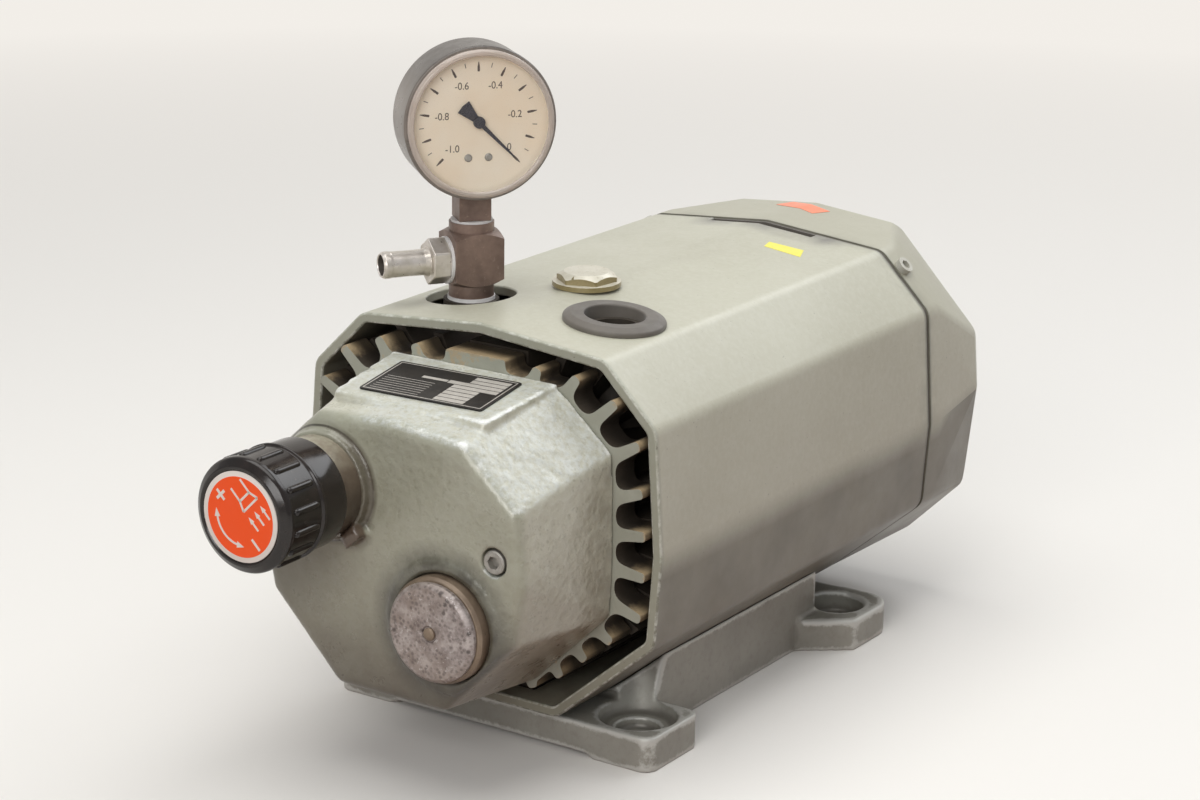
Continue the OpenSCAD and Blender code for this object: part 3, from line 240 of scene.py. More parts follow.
def paintHood(name, edge):
    f = Finish(name, paint["dark"], glossy(40, 0.34, 0.48, 0.75, 4, 0.7),
               Coat_Weight=0.15, Coat_Roughness=0.28)
    y, z, up = f.axis("Y"), f.axis("Z"), f.outwards("Z")
    f.over(f.patches(8, 4, 0.55, (0.3, 0.0), (0.7, 1.0)), paint["light"])
    f.over(f.patches(380, 3, 0.6, (0.4, 0.0), (0.66, 0.14), distortion=0.5), paint["worn"])
    # Painted shade and painted reflection of a brown bench: the hood turns brown towards the bottom
    low = f.times(f.between(z, 0.104, 0.03), f.patches(20, 4, 0.6, (0.35, 0.4), (0.7, 0.95)))
    f.over(low, paint["brown"])
    # Painted shade along the seam between hood and cowl: a dark band and a darker line either side of the gap
    seam = f.times(f.between(y, 0.104, 0.1165), f.between(y, 0.124, 0.117))
    f.over(f.times(seam, f.patches(70, 3, 0.6, (0.4, 0.0), (0.8, 0.5))), paint["grimeAndShade"])
    line = f.times(f.between(y, 0.1122, 0.1144), f.between(y, 0.1186, 0.1166), 0.75)
    f.over(line, (74, 74, 64))
    # Painted shade and painted reflection: faces that point downwards turn dark brown
    under = f.times(f.between(up, 0.012, -0.03), f.patches(24, 3, 0.6, (0.3, 0.66), (0.7, 0.9)))
    f.over(under, (86, 77, 64))
    # Painted shade on the upward faces of the cowl's front rim, next to the seam
    cowlRimShade = f.times(f.between(y, 0.116, 0.119), f.between(up, 0.2, 0.7), 0.55)
    f.over(cowlRimShade, (158, 155, 137))
    # Painted shadow on the hood's top under the cowl's raised middle, near the rear
    overhangShadow = f.times(f.between(y, 0.094, 0.11), f.between(f.apart(f.axis("X"), 0.006), 0.044, 0.03),
                     f.between(y, 0.1165, 0.1155), f.between(z, 0.17, 0.175))
    f.over(f.times(overhangShadow, f.patches(60, 4, 0.6, (0.36, 0.4), (0.62, 0.95))), (104, 101, 98))
    f.over(f.times(f.between(y, -0.1125, -0.1146), 0.45), (128, 132, 118))
    streak = f.patches(46, 3, 0.7, (0.6, 0.0), (0.8, 0.1), where=f.stretched((1, 0.12, 1)))
    f.over(streak, paint["brown"])
    f.over(f.patches(640, 2, 0.6, (0.7, 0.0), (0.78, 0.45)), paint["grimeAndShade"])
    if edge:
        nearRim = f.between(y, -0.02, -0.1, 0.15, 1.0)
        f.over(f.times(f.patches(300, 3, 0.7, (0.42, 0.0), (0.66, 0.6)), nearRim), paint["worn"])
        f.over(f.times(f.patches(210, 3, 0.75, (0.62, 0.0), (0.7, 0.5)), nearRim), paint["grimeAndShade"])
    peel = f.grain(1000, 0.25, 0.00005, 2, 0.5)
    f.set("Normal", f.grain(150, 0.3, 0.00016, 3, 0.55, peel))
    return f.done()


def paintCover():
    f = Finish("coverPaint", paint["dark"], glossy(110, 0.24, 0.42, 0.75), 0.05,
               Coat_Weight=0.35, Coat_Roughness=0.18)
    warp = f.add("ShaderNodeTexNoise", {"Vector": f.where, "Scale": 240.0, "Detail": 2.0}).outputs["Color"]
    bent = f.vector("ADD", f.where, f.vector("MULTIPLY", warp, (0.004, 0.004, 0.004)))
    hammer = f.cells(260, where=bent, feature="SMOOTH_F1", Smoothness=0.7)
    dimple = f.times(f.ramp(f.cells(460, where=bent), (0.1, 1.0), (0.42, 0.0)),
                     f.patches(120, 3, 0.7, (0.42, 0.0), (0.6, 1.0)))
    nearKnob, nearPlug = f.away(-0.031, 0.1255), f.away(0.0285, 0.076)
    x, y, z, up = f.axis("X"), f.axis("Y"), f.axis("Z"), f.outwards("Z")
    front, pastKnob = f.between(y, -0.172, -0.176), f.between(nearKnob, 0.031, 0.037)
    upward, patch = f.ramp(up, (0.3, 0.25), (0.6, 1.0)), f.noise(26, 4, 0.6)
    f.over(f.ramp(patch, (0.32, 0.0), (0.68, 1.0)), paint["light"])
    f.over(f.ramp(hammer, (0.3, 0.0), (0.75, 0.18)), paint["worn"])
    f.over(f.patches(1000, 2, 0.7, (0.56, 0.0), (0.72, 0.3)), paint["worn"])
    # Painted shade in the dents of the hammered paint
    f.over(f.times(dimple, 0.4), (122, 118, 100))
    # Painted shade: the front face darker overall, browner towards the bottom and darker still towards the
    # lower left
    f.over(f.times(front, 0.55), (138, 140, 121))
    f.over(f.times(f.between(z, 0.108, 0.03), f.patches(34, 4, 0.6, (0.3, 0.35), (0.7, 1.0))), (110, 99, 84))
    lowerLeftShade = f.math("MAXIMUM", f.between(z, 0.078, 0.035, 0.0, 0.9), f.between(x, -0.02, -0.058, 0.0, 0.6))
    f.over(f.times(front, lowerLeftShade, f.ramp(patch, (0.3, 0.6), (0.7, 1.0))), (76, 69, 58))
    # Painted sheen: bluish-white speckle on faces that point up
    upwardSheen = f.times(f.ramp(up, (0.35, 0.0), (0.6, 1.0)), f.patches(420, 3, 0.7, (0.38, 0.05), (0.62, 0.55)),
                    pastKnob)
    f.over(upwardSheen, (204, 209, 208))
    # Worn pale edges, kept only where they face up, so partly painted highlight; the lip at the cover's rear
    # edge likewise
    edge = f.times(f.marked("edge"), pastKnob, f.between(nearPlug, 0.0275, 0.031),
                   f.patches(75, 3, 0.6, (0.34, 0.3), (0.6, 1.0)), upward)
    f.over(f.ramp(f.ragged(edge, 1.8, 300, 4, 0.85), (0.44, 0.0), (0.95, 0.8)), (230, 232, 228))
    lip = f.times(f.between(y, -0.1212, -0.1188), f.patches(260, 3, 0.7, (0.4, 0.1), (0.6, 0.9)), upward)
    f.over(lip, (232, 232, 224))
    # Painted shade darkening the hollows
    f.over(f.ramp(f.times(f.marked("edge"), -1.0), (0.3, 0.0), (1.0, 0.4)), paint["grimeAndShade"])
    halo = f.times(f.between(nearPlug, 0.037, 0.0265), f.patches(70, 4, 0.65, (0.3, 0.55), (0.65, 1.0)),
                   front, 0.9)
    f.over(halo, (58, 54, 45))
    rimLine = f.times(f.between(f.apart(nearKnob, 0.0243), 0.0006, 0.00025), front, 0.85)
    f.over(rimLine, (48, 44, 36))
    shade = f.times(f.between(nearKnob, 0.0266, 0.0242), f.between(x, -0.038, -0.016), front, 0.85)
    f.over(shade, (84, 76, 62))
    nearLug = f.vector("DISTANCE", f.where, (-0.0145, -0.1835, 0.1071), "Value")
    f.over(f.between(nearLug, 0.0068, 0.0058), f.mix(f.noise(260, 4, 0.7), (72, 60, 50), (120, 104, 88)))
    pits = f.bump(dimple, -0.7, 0.00035, f.grain(1300, 0.35, 0.00006, 2))
    f.set("Normal", f.grain(420, 0.5, 0.0003, after=f.bump(hammer, 0.6, 0.0005, pits)))
    return f.done()


def basePaint():
    f = Finish("basePaint", (135, 132, 123), glossy(90, 0.36, 0.52, 0.75), 0.25)
    edge = f.marked("edge")
    f.over(f.patches(22, 4, 0.6, (0.3, 0.0), (0.7, 1.0)), (164, 162, 153))
    f.over(f.patches(280, 3, 0.7, (0.5, 0.0), (0.74, 0.3)), (120, 113, 104))
    f.over(f.ramp(f.ragged(edge, 1.2, 260, 3, 0.8), (0.45, 0.0), (0.8, 0.7)), (208, 208, 202))
    # Painted shade darkening the hollows
    f.over(f.ramp(f.times(edge, -1.0), (0.3, 0.0), (1.0, 0.55)), (84, 79, 72))
    f.set("Normal", f.grain(170, 0.4, 0.00026, after=f.grain(1100, 0.3, 0.00006, 2)))
    return f.done()


def finIron():
    f = Finish("finIron", (138, 138, 124), glossy(150, 0.36, 0.6), 0.05, (260, 0.5, 0.0004, 4, 0.7),
               Coat_Weight=0.2, Coat_Roughness=0.2)
    rust = f.mix(f.noise(200, 4, 0.7), (150, 128, 98), (190, 170, 136))
    # dark tones for the painted shade in the gaps between the fins
    gapShade = f.mix(f.noise(120, 4, 0.7), (52, 45, 38), (84, 76, 66))
    bare = f.ragged(f.marked("tip"), 0.7, 240, 3, 0.75)
    f.over(f.noise(60, 4, 0.6), (168, 169, 156))
    f.over(f.ramp(bare, (0.9, 0.0), (1.0, 0.7)), rust)
    # Side faces painted dark as shade in the gaps; the bare rust shows on them only where they face up, as
    # painted light
    upward = f.ramp(f.outwards("Z"), (0.2, 0.45), (0.6, 1.0))
    side = f.mix(f.times(f.ramp(bare, (0.25, 0.0), (0.7, 1.0)), upward), gapShade, rust)
    f.over(f.ramp(f.times(f.outwards("Y"), -1.0), (0.3, 1.0), (0.7, 0.0)), side)
    # Painted shade deeper in between the fins
    f.over(f.times(f.between(f.axis("Y"), -0.1155, -0.109), 0.85), (50, 44, 38))
    return f.done()


def turnedSteel():
    f = Finish("turnedSteel", (150, 149, 147), glossy(60, 0.26, 0.42), 1.0, Anisotropic=0.4)
    f.over(f.noise(900, 2, 0.5, where=f.stretched((0.05, 1, 0.05))), (190, 189, 187))
    return f.done()


def laminations():
    f = Finish("laminations", (92, 92, 96), 0.45, 0.8)
    sheets = f.add("ShaderNodeTexWave", {"Vector": f.where, "Scale": 320.0}, bands_direction="Y")
    f.over(sheets.outputs["Fac"], (148, 148, 150))
    f.set("Normal", f.bump(sheets.outputs["Fac"], 0.4, 0.0002))
    return f.done()


def windingResin():
    f = Finish("windingResin", (104, 56, 28), 0.3)
    strands = f.noise(420, 3, 0.5, where=f.stretched((1, 0.2, 1)), distortion=1.5)
    f.over(strands, (190, 122, 70))
    f.set("Normal", f.bump(strands, 0.8, 0.0006))
    return f.done()


def knobResin():
    f = Finish("knobResin", (23, 19, 17), glossy(120, 0.1, 0.26, 0.75, 4, 0.7), 0.0, (200, 0.2, 0.00012),
               Coat_Weight=0.1, Coat_Roughness=0.05, Specular_IOR_Level=0.4)
    f.over(f.patches(60, 4, 0.65, (0.35, 0.0), (0.75, 1.0)), (44, 36, 32))
    scuffed = f.stretched((1, 0.3, 1), (0.4, 0.2, 0.9))
    f.over(f.patches(420, 4, 0.8, (0.62, 0.0), (0.76, 0.3), where=scuffed), (112, 100, 90))
    return f.done()


def plateBlack():
    f = Finish("plateBlack", (36, 33, 31), glossy(90, 0.28, 0.48), 0.1, Specular_IOR_Level=0.35)
    scratched = f.stretched((0.15, 1, 1), (0, 0, 0.5))
    f.over(f.patches(700, 4, 0.8, (0.58, 0.0), (0.78, 0.4), where=scratched), (112, 106, 100))
    return f.done()


def yellowZinc():
    f = Finish("yellowZinc", (112, 98, 62), glossy(240, 0.28, 0.5), 0.15, (600, 0.3, 0.0001),
               Coat_Weight=0.25, Coat_Roughness=0.2)
    f.over(f.noise(220, 4, 0.7), (164, 150, 108))
    # Painted light: faces that point up paler, the sides left darker
    top = f.mix(f.noise(150, 4, 0.65), (188, 182, 162), (222, 218, 204))
    f.over(f.ramp(f.outwards("Z"), (0.45, 0.0), (0.85, 1.0)), top)
    f.over(f.patches(420, 3, 0.75, (0.58, 0.0), (0.74, 0.6)), (128, 112, 76))
    return f.done()


def pittedZinc():
    f = Finish("pittedZinc", (132, 121, 117), glossy(160, 0.32, 0.56), 0.35)
    small = f.times(f.ramp(f.cells(520), (0.2, 1.0), (0.5, 0.0)),
                    f.patches(160, 3, 0.7, (0.36, 0.0), (0.5, 1.0)))
    large = f.times(f.ramp(f.cells(240), (0.14, 1.0), (0.3, 0.0)),
                    f.patches(90, 2, 0.6, (0.46, 0.0), (0.56, 1.0)))
    f.over(f.patches(150, 4, 0.7, (0.35, 0.0), (0.65, 1.0)), (186, 177, 173))
    f.over(f.patches(40, 3, 0.6, (0.42, 0.0), (0.7, 0.55)), (142, 126, 112))
    f.over(f.times(small, 0.6), (92, 82, 79))
    f.over(f.times(large, 0.75), (72, 64, 62))
    f.over(f.patches(520, 3, 0.8, (0.6, 0.0), (0.72, 0.7)), (218, 213, 210))
    f.set("Normal", f.bump(f.math("MAXIMUM", small, large), -0.9, 0.0006, f.grain(500, 0.5, 0.00016)))
    return f.done()


def regulatorBrass():
    f = Finish("regulatorBrass", (84, 72, 60), glossy(140, 0.34, 0.56), 0.2, (500, 0.4, 0.00014),
               Coat_Weight=0.2, Coat_Roughness=0.2)
    up = f.outwards("Z")
    f.over(f.patches(60, 4, 0.6, (0.3, 0.0), (0.7, 1.0)), (124, 110, 94))
    # Painted light and shade: paler on faces that point up, darker on faces that point down
    painted = f.times(f.ramp(up, (0.5, 0.0), (0.95, 0.8)), f.patches(110, 3, 0.7, (0.36, 0.3), (0.58, 1.0)))
    f.over(painted, (172, 168, 148))
    f.over(f.ramp(up, (0.0, 0.6), (0.5, 0.0)), (62, 54, 46))
    return f.done()


def gaugeEnamel():
    f = Finish("gaugeEnamel", (108, 101, 94), glossy(120, 0.24, 0.42), Coat_Weight=0.15, Coat_Roughness=0.12)
    f.over(f.patches(60, 4, 0.6, (0.3, 0.0), (0.7, 1.0)), (140, 131, 123))
    # Painted shade: the case darker on faces that point up
    f.over(f.ramp(f.outwards("Z"), (0.25, 0.0), (0.8, 0.85)), (58, 52, 48))
    f.over(f.patches(420, 4, 0.8, (0.62, 0.0), (0.76, 0.4)), (150, 144, 136))
    return f.done()


def clearWindow():
    f = Finish("clearWindow", (245, 245, 243), 0.05, 1.0)
    facing = f.add("ShaderNodeLayerWeight", {"Blend": 0.12}).outputs["Fresnel"]
    f.set("Alpha", f.ramp(facing, (0.0, 0.01), (0.25, 0.05), (1.0, 0.9)))
    return f.done()


# A plain finish: its colour, then tints over it, each with its noise and the stops of its ramp
def plainFinish(name, base, rough, metal, grain, *layers, **sockets):
    f = Finish(name, base, rough, metal, grain, **sockets)
    for tint, *patches in layers:
        f.over(f.patches(*patches), tint)
    return f.done()


def foilPrint(name, base, spots):
    return plainFinish(name, base, glossy(90, 0.28, 0.44), 0.0, None,
                       (spots, 500, 4, 0.8, (0.62, 0.0), (0.8, 0.3)), Specular_IOR_Level=0.3)


finish = {
    "hood": paintHood("hoodPaint", False),
    "hoodEdge": paintHood("hoodEdge", True),
    "cover": paintCover(),
    "base": basePaint(),
    "fin": finIron(),
    "steel": turnedSteel(),
    "stack": laminations(),
    "winding": windingResin(),
    "knob": knobResin(),
    "plate": plateBlack(),
    "zinc": yellowZinc(),
    "pitted": pittedZinc(),
    "regulatorBrass": regulatorBrass(),
    "enamel": gaugeEnamel(),
    "window": clearWindow(),
    "labelRed": foilPrint("labelRed", (255, 92, 38), (255, 140, 96)),
    "labelWhite": foilPrint("labelWhite", (236, 230, 222), (180, 170, 160)),
    "stickerYellow": foilPrint("stickerYellow", (236, 226, 96), (196, 186, 70)),
    "stickerOrange": foilPrint("stickerOrange", (246, 140, 108), (232, 170, 150)),
    "iron": plainFinish("darkCasting", (44, 39, 34), glossy(80, 0.55, 0.8), 0.2, (420, 0.5, 0.0002),
                        ((76, 67, 56), 120, 4, 0.7)),
    "aluminium": plainFinish("castAluminium", (118, 116, 112), 0.5, 0.7, (700, 0.4, 0.0002),
                             ((165, 165, 165), 70, 4, 0.6)),
    "screw": plainFinish("screwSteel", (112, 106, 98), glossy(200, 0.32, 0.55), 0.6, (900, 0.3, 0.0001),
                         ((190, 187, 180), 260, 4, 0.7)),
    "paleScrew": plainFinish("paleScrew", (150, 147, 134), glossy(200, 0.32, 0.5), 0.25, None,
                             ((204, 203, 194), 260, 4, 0.7)),
    "carbon": plainFinish("carbonVane", (34, 34, 36), glossy(150, 0.4, 0.6), 0.0, None,
                          ((58, 58, 60), 400, 3, 0.6)),
    "plastic": plainFinish("blackPlastic", (34, 33, 33), 0.45, 0.0, (900, 0.3, 0.0001, 2),
                           ((60, 57, 54), 80, 4, 0.6)),
    "plateSilver": plainFinish("plateSilver", (178, 173, 164), glossy(120, 0.3, 0.5), 0.4, None,
                               ((214, 210, 203), 300, 4, 0.7)),
    "rubber": plainFinish("rubber", (82, 77, 71), glossy(130, 0.48, 0.66), 0.0, (1200, 0.35, 0.00008, 2),
                          ((108, 102, 94), 90, 4, 0.6), Sheen_Weight=0.15),
    "plugTan": plainFinish("plugTan", (106, 90, 75), glossy(140, 0.34, 0.56), 0.3, (600, 0.35, 0.0001),
                           ((148, 131, 112), 70, 4, 0.6, (0.3, 0.0), (0.7, 1.0)),
                           ((98, 82, 66), 360, 3, 0.8, (0.58, 0.0), (0.72, 0.5))),
    "darkBrass": plainFinish("darkBrass", (100, 82, 73), glossy(140, 0.32, 0.52), 0.3, (800, 0.35, 0.0001),
                             ((138, 116, 104), 85, 4, 0.6, (0.3, 0.0), (0.7, 1.0)),
                             ((178, 158, 142), 500, 3, 0.8, (0.6, 0.0), (0.75, 0.4))),
    "brass": plainFinish("brass", (112, 86, 50), glossy(200, 0.3, 0.5), 0.85, None,
                         ((182, 150, 96), 300, 4, 0.7)),
    "seal": plainFinish("sealTape", (205, 202, 200), 0.5, 0.0, (600, 0.4, 0.0002),
                        ((238, 237, 235), 260, 4, 0.7)),
    "nickel": plainFinish("dullNickel", (186, 178, 164), glossy(240, 0.26, 0.42), 0.6, (500, 0.25, 0.00008),
                          ((226, 219, 213), 90, 4, 0.6, (0.32, 0.0), (0.7, 1.0)),
                          ((150, 138, 126), 420, 3, 0.75, (0.6, 0.0), (0.76, 0.4)),
                          Coat_Weight=0.2, Coat_Roughness=0.15),
    "rim": plainFinish("clearRim", (204, 188, 176), 0.14, 0.0, None, ((232, 221, 210), 120, 3, 0.6),
                       Coat_Weight=0.8, Coat_Roughness=0.04, Alpha=0.55),
    "dial": plainFinish("dialCream", (250, 232, 205), 0.5, 0.0, None,
                        ((255, 245, 225), 26, 3, 0.6, (0.3, 0.0), (0.7, 1.0)),
                        ((196, 170, 136), 700, 3, 0.8, (0.66, 0.0), (0.8, 0.3))),
    "ink": plainFinish("dialInk", (70, 60, 56), 0.5, 0.0, None, ((112, 98, 88), 900, 3, 0.7)),
    "pointer": plainFinish("pointerBlack", (44, 42, 50), 0.45, 0.0, None, ((64, 62, 70), 300, 3, 0.6)),
}
print("materials made:", len(finish))


# Mesh makers
def rounded(points, closed=True, arc=5):
    made = []
    for i, (x, y, radius) in enumerate(points):
        here = Vector((x, y))
        if radius <= 0 or (not closed and i in (0, len(points) - 1)):
            made.append((x, y))
            continue
        before = Vector(points[i - 1][:2]) - here
        after = Vector(points[(i + 1) % len(points)][:2]) - here
        half = before.angle(after) / 2
        reach = min(radius / math.tan(half), 0.48 * before.length, 0.48 * after.length)
        first, last = here + before.normalized() * reach, here + after.normalized() * reach
        for k in range(arc + 1):
            t = k / arc
            made.append(tuple(first * (1 - t) ** 2 + here * 2 * t * (1 - t) + last * t * t))
    return made


def newPiece(name, mesh, *materials):
    obj = bpy.data.objects.new(name, mesh)
    bpy.context.scene.collection.objects.link(obj)
    for material in materials:
        mesh.materials.append(material)
    return obj


def smooth(obj, angle=35):
    obj.data.shade_smooth()
    obj.data.set_sharp_from_angle(angle=math.radians(angle))
    return obj


def meshPiece(name, points, faces, place, *materials):
    mesh = bpy.data.meshes.new(name)
    mesh.from_pydata(points, [], faces)
    mesh.transform(place)
    edit = bmesh.new()
    edit.from_mesh(mesh)
    bmesh.ops.remove_doubles(edit, verts=edit.verts, dist=0.002 * mm)
    bmesh.ops.recalc_face_normals(edit, faces=edit.faces)
    edit.to_mesh(mesh)
    edit.free()
    return smooth(newPiece(name, mesh, *materials))


def lathe(name, profile, place, *materials, steps=96):
    points, faces, rings = [], [], []
    for radius, height in profile:
        ring = 1 if radius < 1e-6 else steps
        rings.append([len(points) + k for k in range(ring)])
        points += [(radius * math.cos(math.tau * k / steps), radius * math.sin(math.tau * k / steps), height)
                   for k in range(ring)]
    for a, b in zip(rings, rings[1:]):
        for k in range(steps):
            n = k + 1
            quad = (a[k % len(a)], a[n % len(a)], b[n % len(b)], b[k % len(b)])
            face = list(dict.fromkeys(quad))
            if len(face) > 2:
                faces.append(face)
    return meshPiece(name, points, faces, place, *materials)


def turned(name, points, place, material, arc=5, steps=96):  # a turned piece with rounded corners
    return lathe(name, rounded(points, False, arc), place, material, steps=steps)


def prism(name, outline, low, high, place, *materials):
    count = len(outline)
    points = [(x, y, low) for x, y in outline] + [(x, y, high) for x, y in outline]
    sides = [(k, (k + 1) % count, count + (k + 1) % count, count + k) for k in range(count)]
    faces = [list(range(count)), list(range(2 * count - 1, count - 1, -1)), *sides]
    return meshPiece(name, points, faces, place, *materials)


def bake(obj):  # its modifiers made real
    graph = bpy.context.evaluated_depsgraph_get()
    mesh = bpy.data.meshes.new_from_object(obj.evaluated_get(graph), preserve_all_data_layers=True,
                                           depsgraph=graph)
    obj.modifiers.clear()
    obj.data = mesh
    return obj


def soften(obj, width, segments=2, angle=32):
    bevel = obj.modifiers.new("edges", "BEVEL")
    bevel.width, bevel.segments = width * mm, segments
    bevel.limit_method, bevel.angle_limit = "ANGLE", math.radians(angle)
    bevel.harden_normals = True
    return bake(obj)


def nodeCopy(node, name, *materials, flat=True):
    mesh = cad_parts[node].data.copy()
    mesh.name = name
    mesh.materials.clear()
    for layer in ("custom_normal", "sharp_face", "sharp_edge"):
        if layer in mesh.attributes:
            mesh.attributes.remove(mesh.attributes[layer])
    edit = bmesh.new()
    edit.from_mesh(mesh)
    bmesh.ops.remove_doubles(edit, verts=edit.verts, dist=0.003 * mm)
    if flat:
        bmesh.ops.dissolve_limit(edit, angle_limit=math.radians(0.6), verts=edit.verts, edges=edit.edges)
    edit.to_mesh(mesh)
    edit.free()
    return smooth(newPiece(name, mesh, *materials))


def settle(obj, slotName, *nodes, body="pump"):
    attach(obj, body)
    if nodes:
        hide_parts(*nodes)


def softNode(node, name, key, slotName, width, segments=2, angle=32, body="pump"):  # a node with soft edges
    settle(soften(nodeCopy(node, name, finish[key]), width, segments, angle), slotName, node, body=body)


# A number on each point: above 0 on a rounded edge, below 0 in a hollow
def markEdges(obj, reach, full):
    mesh = obj.data
    count = len(mesh.vertices)
    places, normals = np.empty(count * 3), np.empty(count * 3)
    mesh.vertices.foreach_get("co", places)
    places = places.reshape(-1, 3)
    mesh.vertex_normals.foreach_get("vector", normals)
    ends = np.empty(len(mesh.edges) * 2, dtype=np.int32)
    mesh.edges.foreach_get("vertices", ends)
    ends = ends.reshape(-1, 2)
    both = np.concatenate((ends, ends[:, ::-1]))
    degree = np.maximum(np.bincount(both[:, 0], minlength=count), 1)

    def spread(values):
        return np.stack([np.bincount(both[:, 0], values[both[:, 1], k], count) / degree
                         for k in range(values.shape[1])], axis=1)

    calm = places
    for _ in range(reach):
        calm = spread(calm)
    bend = ((places - calm) * normals.reshape(-1, 3)).sum(1, keepdims=True) / (full * mm)
    for _ in range(2):
        bend = spread(bend)
    layer = mesh.attributes.new("edge", "FLOAT", "POINT")
    layer.data.foreach_set("value", np.clip(bend[:, 0], -1, 1).astype(np.float32))


# A Geometry Nodes tree that copies a piece: round its own Z, or in a straight row
def copiesTree(name, row):
    tree = bpy.data.node_groups.new(name, "GeometryNodeTree")
    for socket, kind in (("Geometry", "Geometry"), ("Count", "Int"), ("Start", "Vector"), ("Step", "Vector"),
                         ("Finish", "Material")):
        tree.interface.new_socket(name=socket, in_out="INPUT", socket_type="NodeSocket" + kind)
    tree.interface.new_socket(name="Geometry", in_out="OUTPUT", socket_type="NodeSocketGeometry")
    add, link = tree.nodes.new, tree.links.new
    given, result = add("NodeGroupInput"), add("NodeGroupOutput")
    points, index = add("GeometryNodePoints"), add("GeometryNodeInputIndex")
    step, place = add("ShaderNodeVectorMath"), add("ShaderNodeVectorMath")
    step.operation, place.operation = "SCALE", "ADD"
    copies, real = add("GeometryNodeInstanceOnPoints"), add("GeometryNodeRealizeInstances")
    painted = add("GeometryNodeSetMaterial")
    link(given.outputs["Count"], points.inputs["Count"])
    link(given.outputs["Step"], step.inputs[0])
    link(index.outputs[0], step.inputs["Scale"])
    link(step.outputs[0], place.inputs[0])
    link(given.outputs["Start"], place.inputs[1])
    if row:
        link(place.outputs[0], points.inputs["Position"])
    else:
        turn = add("FunctionNodeEulerToRotation")
        link(place.outputs[0], turn.inputs[0])
        link(turn.outputs[0], copies.inputs["Rotation"])
    link(points.outputs[0], copies.inputs["Points"])
    link(given.outputs["Geometry"], copies.inputs["Instance"])
    link(copies.outputs[0], real.inputs[0])
    link(real.outputs[0], painted.inputs["Geometry"])
    link(given.outputs["Finish"], painted.inputs["Material"])
    link(painted.outputs[0], result.inputs[0])
    return tree


roundTree, rowTree = copiesTree("copiesRound", False), copiesTree("copiesInRow", True)


def repeat(obj, tree, count, start, step, material, place):
    modifier = obj.modifiers.new("copies", "NODES")
    modifier.node_group = tree
    names = {item.name: item.identifier for item in tree.interface.items_tree if item.in_out == "INPUT"}
    for key, value in (("Count", count), ("Start", start), ("Step", step), ("Finish", material)):
        modifier[names[key]] = value
    bake(obj)
    obj.data.transform(place)
    return smooth(obj)


def copiesRound(obj, count, start, step, material, place):
    return repeat(obj, roundTree, count, (0.0, 0.0, math.radians(start)), (0.0, 0.0, math.radians(step)),
                  material, place)


def together(name, pieces):  # several pieces as one
    for piece in pieces:
        piece.select_set(True)
    bpy.context.view_layer.objects.active = pieces[0]
    with bpy.context.temp_override(active_object=pieces[0], selected_objects=pieces,
                                   selected_editable_objects=pieces):
        bpy.ops.object.join()
    pieces[0].name = name
    return pieces[0]


# Hood and fan cowl: folded sheet with soft, worn edges
sheet = {"edge": 0.9, "cowlEdge": 0.8, "segments": 3, "fold": 1.8, "foldLeast": 22, "foldMost": 62}


def makeSheet(node, name, rim):  # wide soft bends along the folds, small ones round the rims
    obj = nodeCopy(node, name, finish["hood"], finish["hoodEdge"])
    edit = bmesh.new()
    edit.from_mesh(obj.data)
    weights = [0.0] * len(edit.edges)
    for k, edge in enumerate(edit.edges):
        angle = math.degrees(edge.calc_face_angle(0))
        if angle > sheet["foldLeast"]:
            weights[k] = rim / sheet["fold"] if angle > sheet["foldMost"] else 1.0
    edit.free()
    layer = obj.data.attributes.new("bevel_weight_edge", "FLOAT", "EDGE")
    layer.data.foreach_set("value", weights)
    bevel = obj.modifiers.new("edges", "BEVEL")
    bevel.width, bevel.segments = sheet["fold"] * mm, sheet["segments"]
    bevel.limit_method, bevel.harden_normals, bevel.material = "WEIGHT", True, 1
    settle(bake(obj), "hood_paint", node)


makeSheet("hood", "hoodShell", sheet["edge"])
makeSheet("fan_cowl", "cowlShell", sheet["cowlEdge"])
print("hood and cowl made")

# Front cover and base frame: castings with rounded, uneven skins
castings = {
    "front_cover": {"name": "coverCasting", "finish": "cover", "slot": "cover_paint",
                    "voxel": 1.07, "calm": 5, "ripple": 0.16, "pitch": 6},
    "base_frame": {"name": "baseCasting", "finish": "base", "slot": "base_paint",
                   "voxel": 1.1, "calm": 4, "ripple": 0.12, "pitch": 9},
}
edgeMark = {"reach": 8, "full": 0.42}


def makeCasting(node, casting):
    obj = nodeCopy(node, casting["name"], flat=False)
    remesh = obj.modifiers.new("remesh", "REMESH")
    remesh.mode, remesh.voxel_size = "VOXEL", casting["voxel"] * mm
    calm = obj.modifiers.new("calm", "SMOOTH")
    calm.iterations, calm.factor = casting["calm"], 0.5
    bake(obj)
    markEdges(obj, edgeMark["reach"], edgeMark["full"])
    mesh = obj.data
    for vertex, normal in zip(mesh.vertices, [v.normal.copy() for v in mesh.vertices]):
        vertex.co += normal * noise.noise(vertex.co / (casting["pitch"] * mm)) * casting["ripple"] * mm
        vertex.co.z = max(vertex.co.z, 0.0)
    mesh.materials.clear()
    mesh.materials.append(finish[casting["finish"]])
    mesh.shade_smooth()
    settle(obj, casting["slot"], node)


for node, casting in castings.items():
    makeCasting(node, casting)
print("castings made")

# End plate with its fins, drawn as one outline round the shaft
fins = {
    "step": 12, "first": 6, "noneWithin": 13, "root": 3.0, "tip": 2.1, "rootAt": 70, "tipAt": 80,
    "rootRound": 6.5, "tipRound": 1.9, "gap": 1.0, "inset": 5.5,
    "blockHalf": 15, "blockDraft": 0.8, "blockRound": 1.6,
    "front": -118, "rear": -104, "edge": 0.9, "bare": 11, "foot": [(-31, -66, 4), (31, -66, 4)],
    "limit": [(0, 71.5), (92, 71.5), (92, -23), (34, -70)],
}


